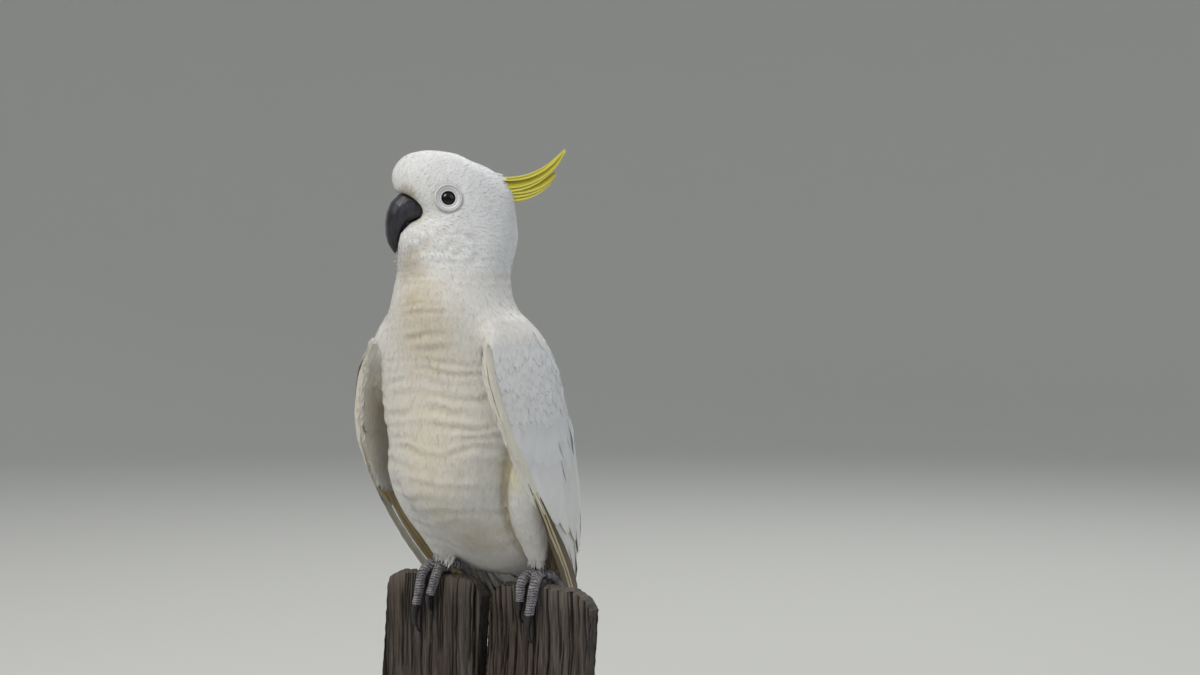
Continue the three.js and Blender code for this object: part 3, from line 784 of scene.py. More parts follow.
def vanes(line, normals, half_widths, heights, style, rng, camber, thick, soft, ragged=0.0,
          shaft=0.0):
    """Rings of points round each middle line: points, faces, each corner's normal, and facts.
    camber arches a vane, soft hides its shading, ragged frays its tip, shaft raises its middle."""
    widths, top, below = STYLES[style]
    count, rows = line.shape[:2]
    stations = np.linspace(0, 1, rows)
    share = np.interp(stations, np.linspace(0, 1, len(widths)), widths)
    ahead = unit(np.gradient(line, axis=1))
    side = unit(np.cross(ahead, normals))
    under = np.linspace(0.5, -0.5, below) if below > 1 else np.zeros(1)
    places = np.concatenate([top, under])
    arch = 1 - places**2
    ring = len(places)
    is_under = np.arange(ring) >= len(top)
    raised = np.where(is_under, -thick, 0.0) + shaft * np.exp(-((places / 0.07) ** 2)) * ~is_under
    half = half_widths[:, None] * share[None]
    # ragged tips: the last rings slide a little along the feather, each point by its own amount
    slide = rng.normal(0, 1, (count, rows, ring)) * ragged * ramp(stations, 0.55, 1.0)[:, None]
    points = (line[:, :, None] + side[:, :, None] * (half[..., None] * places)[..., None]
              + normals[:, :, None] * (heights[..., None] + camber * half[..., None] * arch
                                       + raised)[..., None]
              + ahead[:, :, None] * slide[..., None])
    start = np.arange(count * rows * ring).reshape(count, rows, ring)
    following = np.roll(start, -1, axis=2)
    walls = np.stack([start[:, :-1], following[:, :-1], following[:, 1:], start[:, 1:]], -1)
    half_ring = np.arange(ring // 2 - 1)
    ends = [half_ring, half_ring + 1, ring - 2 - half_ring, ring - 1 - half_ring]
    tip = np.stack([start[:, -1, e] for e in ends], -1)
    root = np.stack([start[:, 0, e] for e in reversed(ends)], -1)
    faces = np.concatenate([f.reshape(-1, 4) for f in (walls, tip, root)])
    # the top is shaded as if it were half melted into the surface below, which hides the mesh
    own = unit(normals[:, :, None] + side[:, :, None] * (camber * 2 * places)[:, None])
    own = unit(own * (1 - soft) + normals[:, :, None] * soft).reshape(-1, 3)
    below_face = np.broadcast_to(np.arange(ring) >= len(top) - 1, walls.shape[:3])
    down = np.broadcast_to(-normals[:, :-1, None], (*walls.shape[:3], 3))
    wall_shading = np.where(below_face[..., None, None], down[..., None, :], own[walls])
    shading = np.concatenate([wall_shading.reshape(-1, 4, 3), *(
        np.broadcast_to((sign * ahead[:, row])[:, None, None], (*caps.shape, 3)).reshape(-1, 4, 3)
        for sign, row, caps in ((1, -1, tip), (-1, 0, root)))])
    whole = np.ones((count, rows, ring))
    lengths = np.linalg.norm(np.diff(line, axis=1), axis=2).sum(1)
    facts = {
        "along": stations[:, None] * whole,
        "across": places * whole,
        "shade": rng.random(count)[:, None, None] * whole,
        "reach": lengths[:, None, None] * stations[:, None] * whole,
        "underside": is_under * whole,
    }
    return points, faces, shading, facts


# %% Give each feather its colour and make the coat
PATCH = 0.003  # how wide each small feather's own patch of the unwrap is


def patches(roots, facts):
    """A tiny patch for each feather at its root's place on the skin's unwrap."""
    _, _, unwrapped = skin_surface.nearest(roots)
    spread = np.stack([facts["across"], facts["along"] * 2 - 1], -1) * PATCH / 2
    return unwrapped[:, None, None] + spread


def strips(facts):
    """For large feathers: a strip of the unwrap for each, upper side below and underside above."""
    lane = np.arange(len(facts["along"]))[:, None, None] + 0.5 + 0.45 * facts["across"]
    return np.stack([lane / len(lane),
                     0.02 + 0.46 * facts["along"] + 0.5 * facts["underside"]], -1)


def stacked(parts):
    """Several results of vanes() of one style as one."""
    starts = np.cumsum([0] + [p[0][..., 0].size for p in parts])
    faces = np.concatenate([p[1] + start for p, start in zip(parts, starts)])
    facts = {key: np.concatenate([p[3][key] for p in parts]) for key in parts[0][3]}
    return (np.concatenate([p[0] for p in parts]), faces,
            np.concatenate([p[2] for p in parts]), facts)


def coat(name, made, spots, material, stands_for, slot="plumage_white"):
    """One piece from vanes(), with its shading normals, facts and OFBake map."""
    points, faces, shading, facts = made
    piece = mesh_object(name, points.reshape(-1, 3), faces, material, slot=slot,
                        stands_for=stands_for)
    mesh = piece.data
    add_facts(mesh, facts)
    corners = spots.reshape(-1, 2)[faces.ravel()]
    mesh.uv_layers.new(name="OFBake").uv.foreach_set("vector", corners.astype(np.float32).ravel())
    mesh.normals_split_custom_set(shading.reshape(-1, 3))
    print(f"{name}: {len(points)} feathers, {2 * len(faces)} triangles")


# %% [markdown]
# ## The small feathers of head, neck and body
# Feathers lie backwards from the bill over the head and then run down the body, parted along the
# breast. They are smallest round the bill and eyes, and largest on the back. The ruffles need no
# more work here, because every feather follows the skin that it lies on.

# %% The lie of the coat
BILL_ROOT = np.array(on_head(30, 0, -4))


def share_of_head(points):
    return ramp(points[:, 2], PERCH + 226 * MM, PERCH + 262 * MM)


def lie(points):
    """The way the feathers lie at each place, before it is laid onto the surface."""
    head = share_of_head(points)[:, None]
    from_bill = unit(points - BILL_ROOT)
    parting = np.clip(points[:, 0] / (60 * MM), -1, 1) * ramp(points[:, 2], PERCH, PERCH + 90 * MM)
    under = 1.4 * (1 - ramp(points[:, 2], PERCH, PERCH + 60 * MM))
    down = np.stack([0.22 * parting, under, -np.ones(len(points))], 1)
    ahead = unit(from_bill * head + unit(down) * (1 - head))
    for side in ("left", "right"):  # round the eyes the feathers run past the bare ring
        away = points - centre("eye_" + side)
        close = 1 - ramp(np.linalg.norm(away, axis=1), 10 * MM, 21 * MM)
        inward = np.minimum((ahead * unit(away)).sum(1), 0) * close
        ahead = unit(ahead - inward[:, None] * unit(away))
    return ahead


def clear_of_face(points):
    """True where feathers grow: outside the eye rings and the bill."""
    keep = np.ones(len(points), bool)
    for side in ("left", "right"):
        keep &= np.linalg.norm(points - centre("eye_" + side), axis=1) > 9.9 * MM
    return keep & (bill_surface.distance(points) > 1.1 * MM)


bill_surface = Surface(remeshed(copied(("bill_upper", "bill_lower"), 0.2 * MM), 1.2 * MM))


def on_wing(points):
    return distance_to("wings", points) < np.minimum(distance_to("body", points),
                                                     distance_to("thighs", points))


def height_above_perch(points):
    return points[:, 2] - PERCH


def zone(low, high):
    """A test for places between two heights above the perch, in millimetres."""
    return lambda p: (height_above_perch(p) > low * MM) & (height_above_perch(p) <= high * MM)


ROWS = {"plush": 4, "plume": 6, "contour": 7}  # rows of points along a small feather


def small_feathers(name, roots, size, style, rise, material, seed, stands_for,
                   ragged=0.3 * MM, soft=0.75, surface=None, sink=0.0):
    """One region's coat. size is (length, half width) and rise is the height of the tips, in mm."""
    surface = surface or skin_surface
    rng = np.random.default_rng(seed)
    count, rows = len(roots), ROWS[style]
    _, facing, _ = surface.nearest(roots)
    ahead = lie(roots)
    ahead = ahead + np.cross(facing, ahead) * rng.normal(0, 0.1, (count, 1))  # none lies quite true
    lengths = size[0] * MM * rng.uniform(0.85, 1.15, count)
    line, normals = laid(surface, roots, ahead, lengths, rows)
    stations = np.linspace(0, 1, rows)
    heights = rise * MM * (0.2 + 0.8 * stations) * rng.uniform(0.75, 1.25, (count, 1)) - sink
    halves = size[1] * MM * rng.uniform(0.85, 1.2, count)
    made = vanes(line, normals, halves, heights, style, rng, camber=0.05, thick=0.15 * MM,
                 soft=soft, ragged=ragged)
    if surface is skin_surface:
        # each feather takes the painted shade of the hollow that it grows from
        hollow = skin_surface.sampled(line, skin_painted_hollow_shade)
        made[3]["hollow"] = hollow[..., None] * np.ones(made[0].shape[:3])
    coat(name, made, patches(roots, made[3]), material, stands_for)


def rooted(wanted, spacing, seed, keep=None):
    """Places for feathers on the skin, outside the eyes and the bill."""
    roots = scattered(skin_surface, wanted, spacing, seed)
    roots = roots[clear_of_face(roots)]
    return roots if keep is None else roots[keep(roots)]


def off_wing(points):
    """True off the wings, and on the top of the shoulders, which neck feathers cover."""
    over = np.where(points[:, 0] > 0, 190 * MM, 172 * MM)
    return ~on_wing(points) | (height_above_perch(points) > over)


def upper_wing(points):
    """True on the upper part of either wing, down to a ragged line at the middle of the wing."""
    fringe = (108 + 7 * noise_waves(points, 30 * MM, 8)) * MM
    return ~off_wing(points) & (height_above_perch(points) > fringe)


def face_zone(points):
    return zone(244, 400)(points) & (in_head(points)[:, 0] > -8 * MM)


def crown_zone(points):
    return zone(244, 400)(points) & (in_head(points)[:, 0] <= -8 * MM)


def front(points):
    """True on the side of the body that faces forward and outward."""
    return skin_surface.nearest(points)[1][:, 1] < 0.15


def front_of_body(points):
    return off_wing(points) & front(points)


def back_of_body(points):
    return off_wing(points) & ~front(points)


# Each region: name, where it lies, a further test, spacing in mm, seed, length and half width in
# mm, style, height of the tips in mm, material, and the solids that it helps to stand for.
REGIONS = (
    ("face", face_zone, None, 1.35, 11, (5.6, 1.05), "plush", 0.42, head_white_painted_sky_shade, ("head",)),
    ("crown", crown_zone, None, 1.6, 12, (7.5, 1.3), "plush", 0.45, head_white_painted_sky_shade, ()),
    ("neck", zone(200, 246), None, 1.8, 13, (9.5, 1.5), "plume", 0.38, body_white, ("neck",)),
    ("breast", zone(112, 202), front_of_body, 2.0, 14, (11.5, 1.65), "plume", 0.4, body_white,
     ("trunk",)),
    ("belly", zone(-30, 114), front_of_body, 2.1, 15, (12, 1.75), "plume", 0.4, body_white,
     ("thigh_left", "thigh_right")),
    ("back", zone(-30, 202), back_of_body, 3.2, 16, (16, 3.2), "contour", 0.8, body_white, ()),
)
RAGGED = {"face": 0.2 * MM, "crown": 0.25 * MM}
for name, wanted, keep, spacing, seed, size, style, rise, material, stands_for in REGIONS:
    roots = rooted(wanted, spacing * MM, seed, keep)
    small_feathers(f"coat_{name}", roots, size, style, rise, material, seed, stands_for,
                   RAGGED.get(name, 0.3 * MM))
for seed, side, here in ((47, "left", 1), (48, "right", -1)):
    roots = rooted(upper_wing, 2.7 * MM, seed, lambda p: p[:, 0] * here > 0)
    small_feathers(f"coat_shoulder_{side}", roots, (14, 2.5), "contour", 0.8, wing_white_painted_sky_shade, seed,
                   (f"wing_{side}",), soft=0.8)

# %% [markdown]
# Long loose coverts hang from under the body over the root of the tail. A fringe hides the top of
# each foot, and a few tufts stand at the far cheek and at the right ankle. None of these lie on
# the skin, so each feather gets its own middle line through the air.

# %% Undertail coverts and leg fluff


def fluff(name, starts, ends, half, facing, seed, sag=0.0, stands_for=()):
    """Loose feathers from starts to ends that bow outwards by sag."""
    rng = np.random.default_rng(seed)
    t = np.linspace(0, 1, 8)[None, :, None]
    bow = np.array([0, 0.5, -1.0]) * sag * 4 * t * (1 - t)
    line = starts[:, None] * (1 - t) + ends[:, None] * t + bow
    normals = np.broadcast_to(unit(facing)[:, None], line.shape)
    made = vanes(line, normals, half * rng.uniform(0.8, 1.2, len(line)), np.zeros(line.shape[:2]),
                 "covert", rng, camber=0.1, thick=0.25 * MM, ragged=0.8 * MM, soft=0.7)
    coat(name, made, patches(starts, made[3]), body_white, stands_for)


UNDERTAIL_COUNT, TUFT_COUNT = 130, 40
rng = np.random.default_rng(17)
count = UNDERTAIL_COUNT
side = rng.uniform(-1, 1, count)
layer = rng.random(count)
starts = np.stack([side * 26, 14 + 26 * layer, 6 + 8 * layer], 1) * MM + [0, 0, PERCH]
ends = np.stack([side * 29 + rng.normal(0, 2, count), 42 + 20 * layer,
                 -12 - 32 * layer + rng.normal(0, 3, count)], 1) * MM + [0, 0, PERCH]
facing = np.stack([0.5 * side, -1 + 1.2 * layer, -0.4 + 0 * side], 1)
fluff("coat_undertail", starts, ends, 4 * MM, facing, 17, 3 * MM, stands_for=("trunk",))

count = TUFT_COUNT
forward_left_up = rng.uniform([16, -15, -46], [23, -10, -33], (count, 3)).T[:, :, None] * MM
starts = EYES_MIDDLE + from_head(*forward_left_up)  # beside the bill, on the far cheek
ends = starts + from_head(*rng.uniform([7, -2, -6], [12, 1, 0], (count, 3)).T[:, :, None] * MM)
fluff("coat_cheek_tuft", starts, ends, 1.5 * MM, ends * 0 - HEAD_LEFT, 18)
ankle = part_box("foot_right")
inner = np.array([ankle[1].x - 12 * MM, -6 * MM, ankle[1].z])
starts = inner + rng.uniform([-4, -1, 0], [5, 4, 7], (count, 3)) * MM
ends = starts + rng.uniform([-2, -5, -6], [3, -1, -3], (count, 3)) * MM
fluff("coat_ankle_tuft", starts, ends, 0.9 * MM, ends * 0 + [0.2, -1, 0.3], 19)
for number, side in enumerate(("left", "right")):
    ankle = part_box(f"foot_{side}")
    middle = np.array([(ankle[0].x + ankle[1].x) / 2, -1 * MM])
    low = ankle[1].z + 6 * MM

    def near_ankle(points):
        return (np.linalg.norm(points[:, :2] - middle, axis=1) < 14 * MM) & (points[:, 2] < low)

    roots = rooted(near_ankle, 1.4 * MM, 20 + number)
    _, facing, _ = skin_surface.nearest(roots)
    upright = np.abs(facing[:, 2]) < 0.8
    roots, facing = roots[upright], facing[upright]
    ends = roots + facing * 0.2 * MM + rng.uniform(3, 8, (len(roots), 1)) * MM * [0, 0, -1]
    shortest = ankle[1].z + rng.uniform(-4, -1, len(roots)) * MM
    ends[:, 2] = np.maximum(ends[:, 2], shortest)
    fluff(f"coat_ankle_{side}", roots - facing * 0.9 * MM, ends, 1.1 * MM, facing, 22 + number)

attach(skin, "root")
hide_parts("head", "neck", "trunk", "thigh_left", "thigh_right")

# %% [markdown]
# ## The wings
# A folded wing shows its feathers in tiers: small coverts like scales at the shoulder, longer
# coverts below them, then the secondaries, and last the primaries, which reach the tip. Each tier
# starts under the one above. They are placed on a map of the wing's outer face, made by looking
# at it from outside at every height and noting where its front and back edges are.

# %% A map of each wing's outer face
# an upright line inside the body; seen from it, both wings' faces are a simple fan of angles
WING_AXIS = np.array([-2.0, -15.0]) * MM


class WingMap:
    """Finds the place on a wing's outer face that is so far from its front edge at a height."""

    def __init__(self, name, side):
        thick = smoothed(remeshed(copied((name,), 0.6 * MM), 1.3 * MM), 6)
        back = np.full(len(thick.vertices), -0.6 * MM)  # thickened first, so that nothing tears
        self.surface = Surface(pushed(thick, back))
        self.side = side
        tops = self.surface.points[:, 2]
        self.heights = np.linspace(tops.min() + 1.5 * MM, tops.max() - 3 * MM, 70)
        angles = np.radians(np.arange(15, 205, 1.0))
        edges, widths = [], []
        for z in self.heights:
            hits = [(a, self.look(a, z)) for a in angles]
            seen = [(a, hit) for a, hit in hits if hit is not None]
            if not seen:
                continue
            edges.append((seen[0][0], seen[-1][0]))
            face = np.array([hit for _, hit in seen])
            widths.append(np.linalg.norm(np.diff(face, axis=0), axis=1).sum())
        window = np.ones(5) / 5
        ironed = [np.convolve(np.pad(v, 2, "edge"), window, "valid") for v in np.array(edges).T]
        self.front, self.back = ironed
        self.widths = np.convolve(np.pad(widths, 2, "edge"), window, "valid")

    def look(self, angle, z):
        outward = Vector((self.side * math.sin(angle), -math.cos(angle), 0))
        start = Vector((*WING_AXIS, z)) + outward * 0.3
        return self.surface.tree.ray_cast(start, -outward)[0]

    def width(self, z):
        return np.interp(z, self.heights, self.widths)

    def places(self, share, z):
        """share is 0 at the front edge and 1 at the back edge; gives places and normals."""
        share, z = np.broadcast_arrays(share, np.clip(z, self.heights[0], self.heights[-1]))
        angles = (np.interp(z, self.heights, self.front) * (1 - share)
                  + np.interp(z, self.heights, self.back) * share)
        found = []
        for angle, height in zip(angles.ravel(), z.ravel()):
            hit = self.look(angle, height)
            if hit is None:
                outward = (self.side * math.sin(angle) * 0.09, -math.cos(angle) * 0.09)
                hit = self.surface.tree.find_nearest(
                    (WING_AXIS[0] + outward[0], WING_AXIS[1] + outward[1], height))[0]
            found.append(hit)
        places, normals, _ = self.surface.nearest(np.array(found))
        return places.reshape(*z.shape, 3), normals.reshape(*z.shape, 3)


WINGS = {"left": WingMap("wing_left", 1), "right": WingMap("wing_right", -1)}
for side, wing in WINGS.items():
    print(side, "wing is", round(wing.width(PERCH + 110 * MM) / MM), "mm round at mid height")

# %% [markdown]
# Seen from below, the flight feathers are golden tan where preen oil has stained them, with dark
# gaps between. Their leading edges are creamy, so the closed stack shows as fine pale lines.

# %% Quill material


def quill_material(name, top, edge, under, under_streak):
    """White above, creamy at the edges, and stained golden tan below with darker streaks."""
    material, tree, shader = new_material(name)
    across, reach, underside = (node(tree, "Attribute", attribute_name=key).outputs["Fac"]
                                for key in ("across", "reach", "underside"))
    from_shaft = node(tree, "Math", {0: across}, operation="ABSOLUTE")
    rim = node(tree, "MapRange", {"Value": from_shaft, "From Min": 0.7, "From Max": 1.0})
    colour = tinted(tree, plumage_colour(tree, top, "#DDDFE2"), edge, 0.75, rim)
    lane = node(tree, "CombineXYZ", {"X": across, "Y": reach})
    drawn_out = node(tree, "VectorMath", {0: lane, 1: (6, 1 / (30 * MM), 1)},
                     operation="MULTIPLY")
    streaks = node(tree, "TexNoise", {"Vector": drawn_out, "Scale": 1.0, "Detail": 3.0})
    darker = node(tree, "MapRange", {"Value": streaks, "From Min": 0.4, "From Max": 0.7})
    stain = tinted(tree, linear(under), under_streak, 1.0, darker)
    shaft_line = node(tree, "MapRange", {"Value": from_shaft, "From Min": 0.05, "From Max": 0.2,
                                         "To Min": 1.0, "To Max": 0.0})
    stain = tinted(tree, stain, "#F0E2BE", 0.8, shaft_line)
    colour = node(tree, "Mix", {"Factor": underside, 6: colour, 7: stain}, data_type="RGBA")
    finish_plumage(tree, shader, colour.outputs[2], 0.22, roughness=0.5)
    return material


quill_white = quill_material("flight_feather_keratin", "#ECECEB", "#EDE4CE", "#E8D09A", "#C3A268")
tail_white = quill_material("tail_feather_keratin", "#F1F0EB", "#EFE5CC", "#E6D488", "#C9B25C")

# %% Tiers of wing feathers


def tier(wing, rng, share, root, tip, half, height, style, rows, **shape):
    """Feathers side by side: share places them across the wing, root and tip are their heights.
    Their roots start deeper, so that the feathers above cover them."""
    t = np.linspace(0, 1, rows)
    z = root[:, None] + (tip - root)[:, None] * t
    line, normals = wing.places(np.clip(share[:, None], 0.01, 0.99), z)
    heights = height[:, None] - 1.8 * MM * (1 - ramp(t, 0.1, 0.55))
    return vanes(line, normals, half, heights, style, rng, **shape)


def coverts(side, seed):
    """The long coverts that lie over the roots of the flight feathers."""
    wing, rng, parts = WINGS[side], np.random.default_rng(seed), []
    rows = ((128, 30, 6.5, -0.9), (119, 32, 7.0, -1.1), (108, 44, 8.0, -1.4))
    for up, drop, half, height in rows:
        width = wing.width(PERCH + up * MM)
        count = max(4, int(width / (half * 1.1 * MM)))
        share = (np.arange(count) + 0.5 + rng.normal(0, 0.1, count)) / count
        inset = half * 0.7 * MM / width
        root = (up + 8 + rng.normal(0, 3.0, count)) * MM + PERCH
        tip = root - (drop + rng.normal(0, 1.5, count)) * MM
        parts.append(tier(wing, rng, inset + (1 - 2 * inset) * share, root, tip,
                          np.full(count, half * MM),
                          (height + rng.normal(0, 0.1, count)) * MM, "covert", 8,
                          camber=0.08, thick=0.25 * MM, ragged=0.3 * MM, soft=0.85))
    return stacked(parts)


def flight_feathers(side, seed):
    """Secondaries over the wing's lower half, and the primaries that reach its tip."""
    wing, rng = WINGS[side], np.random.default_rng(seed)
    count = 12
    share = np.linspace(0.06, 0.965, count)
    root = PERCH + (124 + 6 * share) * MM
    tip = PERCH + (62 - 92 * share + rng.normal(0, 2, count)) * MM
    parts = [tier(wing, rng, share, root, tip, np.full(count, 10.5 * MM),
                  (-1.9 + 0.12 * np.arange(count)) * MM, "quill", 13,
                  camber=0.11, thick=0.35 * MM, shaft=0.3 * MM, soft=0.6)]
    count = 10
    order = np.arange(count)
    rows = 13
    root, tip = PERCH + 84 * MM, PERCH + (-68 + 7.5 * order) * MM
    z = root + (tip - root)[:, None] * np.linspace(0, 1, rows)
    # on the left wing a dark wedge stays open between these and the edge feathers
    first = np.linspace(0.08, 0.46 if side == "left" else 0.2, rows)
    share = first + (0.94 - first) * (order / (count - 1))[:, None]
    line, normals = wing.places(share, z)
    heights = (-3.4 + 0.17 * order)[:, None] * MM * np.ones(rows)
    parts.append(vanes(line, normals, np.full(count, 7.5 * MM), heights, "quill", rng,
                       camber=0.08, thick=0.35 * MM, shaft=0.3 * MM, soft=0.6))
    return stacked(parts)


def lower_face(side):
    """A test for the wing's inner face and front edge below the fleshy part."""
    surface = WINGS[side].surface

    def wanted(points):
        _, facing, _ = surface.nearest(points)
        outward = unit((points - [*WING_AXIS, 0]) * [1, 1, 0])
        up = height_above_perch(points)
        away = (facing * outward).sum(1)
        top = np.where(away > -0.6, 186 * MM, 118 * MM)
        open_side = (up < 118 * MM) | (points[:, 1] < 12 * MM)  # the rest lies on the body
        return (away < 0.3) & (up > 82 * MM) & (up < top) & open_side

    return wanted


for number, (side, wing) in enumerate(WINGS.items()):
    made = coverts(side, 31 + number)
    coat(f"coat_coverts_{side}", made, patches(made[0][:, 0, 0], made[3]), wing_white_painted_sky_shade,
         (f"wing_{side}",))
    made = flight_feathers(side, 41 + number)
    coat(f"flight_feathers_{side}", made, strips(made[3]), quill_white, (f"wing_{side}",))
    roots = scattered(wing.surface, lower_face(side), 3.0 * MM, 51 + number)
    small_feathers(f"coat_underwing_{side}", roots, (13, 2.6), "plume", 0.8, underwing_cream,
                   51 + number, (f"wing_{side}",), surface=wing.surface, sink=0.9 * MM)

# %% [markdown]
# The front edge of a folded wing is a bundle of long narrow creamy feathers laid along it, which
# make the edge a clean line. Below them the stacked primaries show their pale rims as two thin
# lines that fan out, with a dark gap between. On the left wing a dark brown sheet in that gap is a
# painted shadow.

# %% Narrow feathers along the front edge


def edge_feathers(side, seed):
    """Overlapping lines of narrow feathers that run down a wing's front edge."""
    wing, rng, parts = WINGS[side], np.random.default_rng(seed), []
    first, wide = (0.9, 1.7) if side == "left" else (0.1, 2.3)  # the right one is seen edge on
    for number, (from_edge, height) in enumerate(((first, -0.1), (3.6, 0.0), (5.6, -0.3))):
        root = PERCH + (np.arange(190, 82 if side == "left" else 20, -9) - 3 * number) * MM
        z = root[:, None] - 32 * MM * np.linspace(0, 1, 8)
        line, normals = wing.places(from_edge * MM / wing.width(z), z)
        sunk = ramp(z, PERCH + 166 * MM, PERCH + 190 * MM)  # shoulder feathers cover the top ones
        parts.append(vanes(line, normals, np.full(len(root), wide * MM),
                           (height - 1.8 * sunk) * MM, "covert", rng,
                           camber=0.16, thick=0.3 * MM, soft=0.5))
    return stacked(parts)


def primary_edges(side, seed):
    """The edges of the primaries below the secondaries' tips: thin pale lines that fan out."""
    wing, rng, parts = WINGS[side], np.random.default_rng(seed), []
    for number in range(2):
        z = PERCH + np.linspace(76, -62 + 10 * number, 13)[None] * MM
        from_edge = (1.2 + number * np.linspace(3.0, 6.6, 13)) * MM
        line, normals = wing.places(np.minimum(from_edge / wing.width(z), 0.1 + 0.3 * number), z)
        parts.append(vanes(line, normals, np.full(1, 1.0 * MM), 0.5 * MM + np.zeros(z.shape),
                           "quill", rng, camber=0.3, thick=0.5 * MM, soft=0.2))
    return stacked(parts)


def painted_shadow_sheet(side, seed):
    """A dark brown sheet between those edges: a painted shadow in the gap between the primaries."""
    wing, rng = WINGS[side], np.random.default_rng(seed)
    z = PERCH + np.linspace(92, -60, 13)[None] * MM
    from_edge = np.linspace(2.4, 8.0, 13) * MM
    line, normals = wing.places(np.minimum(from_edge / wing.width(z), 0.42), z)
    return vanes(line, normals, np.full(1, 8.4 * MM), np.zeros(z.shape) - 0.2 * MM, "fan",
                 rng, camber=0.08, thick=0.5 * MM, soft=0.4)


def mottled_vane(name, colour, stain, size, relief):
    """A vane of one colour mottled softly with another."""
    material, tree, shader = new_material(name)
    place = node(tree, "TexCoord").outputs["Object"]
    mask = node(tree, "TexNoise", {"Vector": place, "Scale": 1 / size, "Detail": 3.0})
    finish_plumage(tree, shader, tinted(tree, linear(colour), stain, 1.0, mask), relief)
    return material


# painted shadow: a dark brown sheet stands for the shade in the gap between the primaries
painted_shadow_brown = mottled_vane("painted_shadow_between_primaries", "#4A3B26", "#6E5A3A", 12 * MM, 0.25)
# the rims are too narrow for barbs to show
rim_cream = mottled_vane("pale_rim_of_primary", "#D8CFB4", "#B9A67C", 9 * MM, 0.0)

for number, side in enumerate(WINGS):
    made = edge_feathers(side, 61 + number)
    coat(f"edge_feathers_{side}", made, patches(made[0][:, 0, 0], made[3]), edge_cream,
         (f"wing_{side}",))
    made = primary_edges(side, 63 + number)
    coat(f"primary_edges_{side}", made, strips(made[3]), rim_cream, (f"wing_{side}",))
# the left wing's painted shadow sheet
made = painted_shadow_sheet("left", 65)
coat("painted_shadow_sheet_left", made, strips(made[3]), painted_shadow_brown, ("wing_left",))

# %% [markdown]
# ## The tail
# Twelve tail feathers lie nearly flat over each other behind the perch, the middle pair on top,
# seen from the back. In front, the loose coverts under the body hide their roots.

# %% Tail feathers
tail_low, tail_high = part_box("tail")
tail_surface = Surface(smoothed(remeshed(copied(("tail",)), 1.3 * MM), 6))


def on_tail(across, z):
    """Places on the back face of the tail, across from its middle, with their normals."""
    across, z = np.broadcast_arrays(across, z)
    hits = []
    for x, height in zip(across.ravel(), z.ravel()):
        behind = Vector((x, tail_high.y + 50 * MM, height))
        hit = tail_surface.tree.ray_cast(behind, Vector((0, -1, 0)))
        hits.append(hit[0] or tail_surface.tree.find_nearest((x, tail_high.y, height))[0])
    places, normals, _ = tail_surface.nearest(np.array(hits))
    return places.reshape(*z.shape, 3), normals.reshape(*z.shape, 3)


rng = np.random.default_rng(71)
TAIL_COUNT = 12
order = np.arange(TAIL_COUNT)
pair = np.minimum(order, 11 - order)  # 0 for the outermost pair, 5 for the middle one
spread = np.where(order < 6, -1, 1) * (5 - pair + 0.35) / 5.35
t = np.linspace(0, 1, 13)
top, bottom = tail_high.z - 4 * MM, tail_low.z + (1.5 + 1.6 * (5 - pair)) * MM
z = top + (bottom - top)[:, None] * t
tail_half = (tail_high.x - tail_low.x) / 2
across = spread[:, None] * (0.45 + 0.55 * t) * (tail_half - 11 * MM)
line, normals = on_tail(across, z)
heights = (-1.9 + 0.28 * pair)[:, None] * MM + np.zeros(z.shape)
made = vanes(line, normals, np.full(TAIL_COUNT, 11.5 * MM), heights, "quill", rng, camber=0.05,
             thick=0.45 * MM, shaft=0.4 * MM, soft=0.4)
coat("tail_feathers", made, strips(made[3]), tail_white, ("tail",))

# %% [markdown]
# ## The crest
# The crest's yellow feathers are long, narrow and curved, and their tips turn up. Half lowered,
# they lie on each other in a tight bundle that ends in two points. Each runs along a smooth curve
# through its root, its lowest stretch and its tip. Small white crown feathers cover the roots.

# %% Yellow crest feathers
crest_yellow, tree, shader = new_material("crest_plumage_sulphur_yellow")
along, across = (node(tree, "Attribute", attribute_name=key).outputs["Fac"]
                 for key in ("along", "across"))
lane = node(tree, "CombineXYZ", {"X": across, "Y": along})
drawn_out = node(tree, "VectorMath", {0: lane, 1: (9, 2.5, 1)}, operation="MULTIPLY")
fine = node(tree, "TexNoise", {"Vector": drawn_out, "Scale": 1.0, "Detail": 4.0})
darker = node(tree, "MapRange", {"Value": fine, "From Min": 0.4, "From Max": 0.7})
colour = tinted(tree, linear("#DFD545"), "#A9A026", 0.8, darker)
pale_root = node(tree, "MapRange", {"Value": along, "From Min": 0.05, "From Max": 0.3,
                                    "To Min": 1.0, "To Max": 0.0})
colour = tinted(tree, colour, "#EFE9B0", 0.45, pale_root)
from_shaft = node(tree, "Math", {0: across}, operation="ABSOLUTE")
rim = node(tree, "MapRange", {"Value": from_shaft, "From Min": 0.75, "From Max": 1.0})
finish_plumage(tree, shader, tinted(tree, colour, "#F2EA8A", 0.6, rim), 0.5)


def curve_through(points, count):
    """Evenly timed places on a smooth curve through three points (a parabola in time)."""
    start, middle, end = (np.asarray(p, float) for p in points)
    t = np.linspace(0, 1, count)[:, None]
    return (start * (1 - t) * (1 - 2 * t) + middle * 4 * t * (1 - t) + end * t * (2 * t - 1))


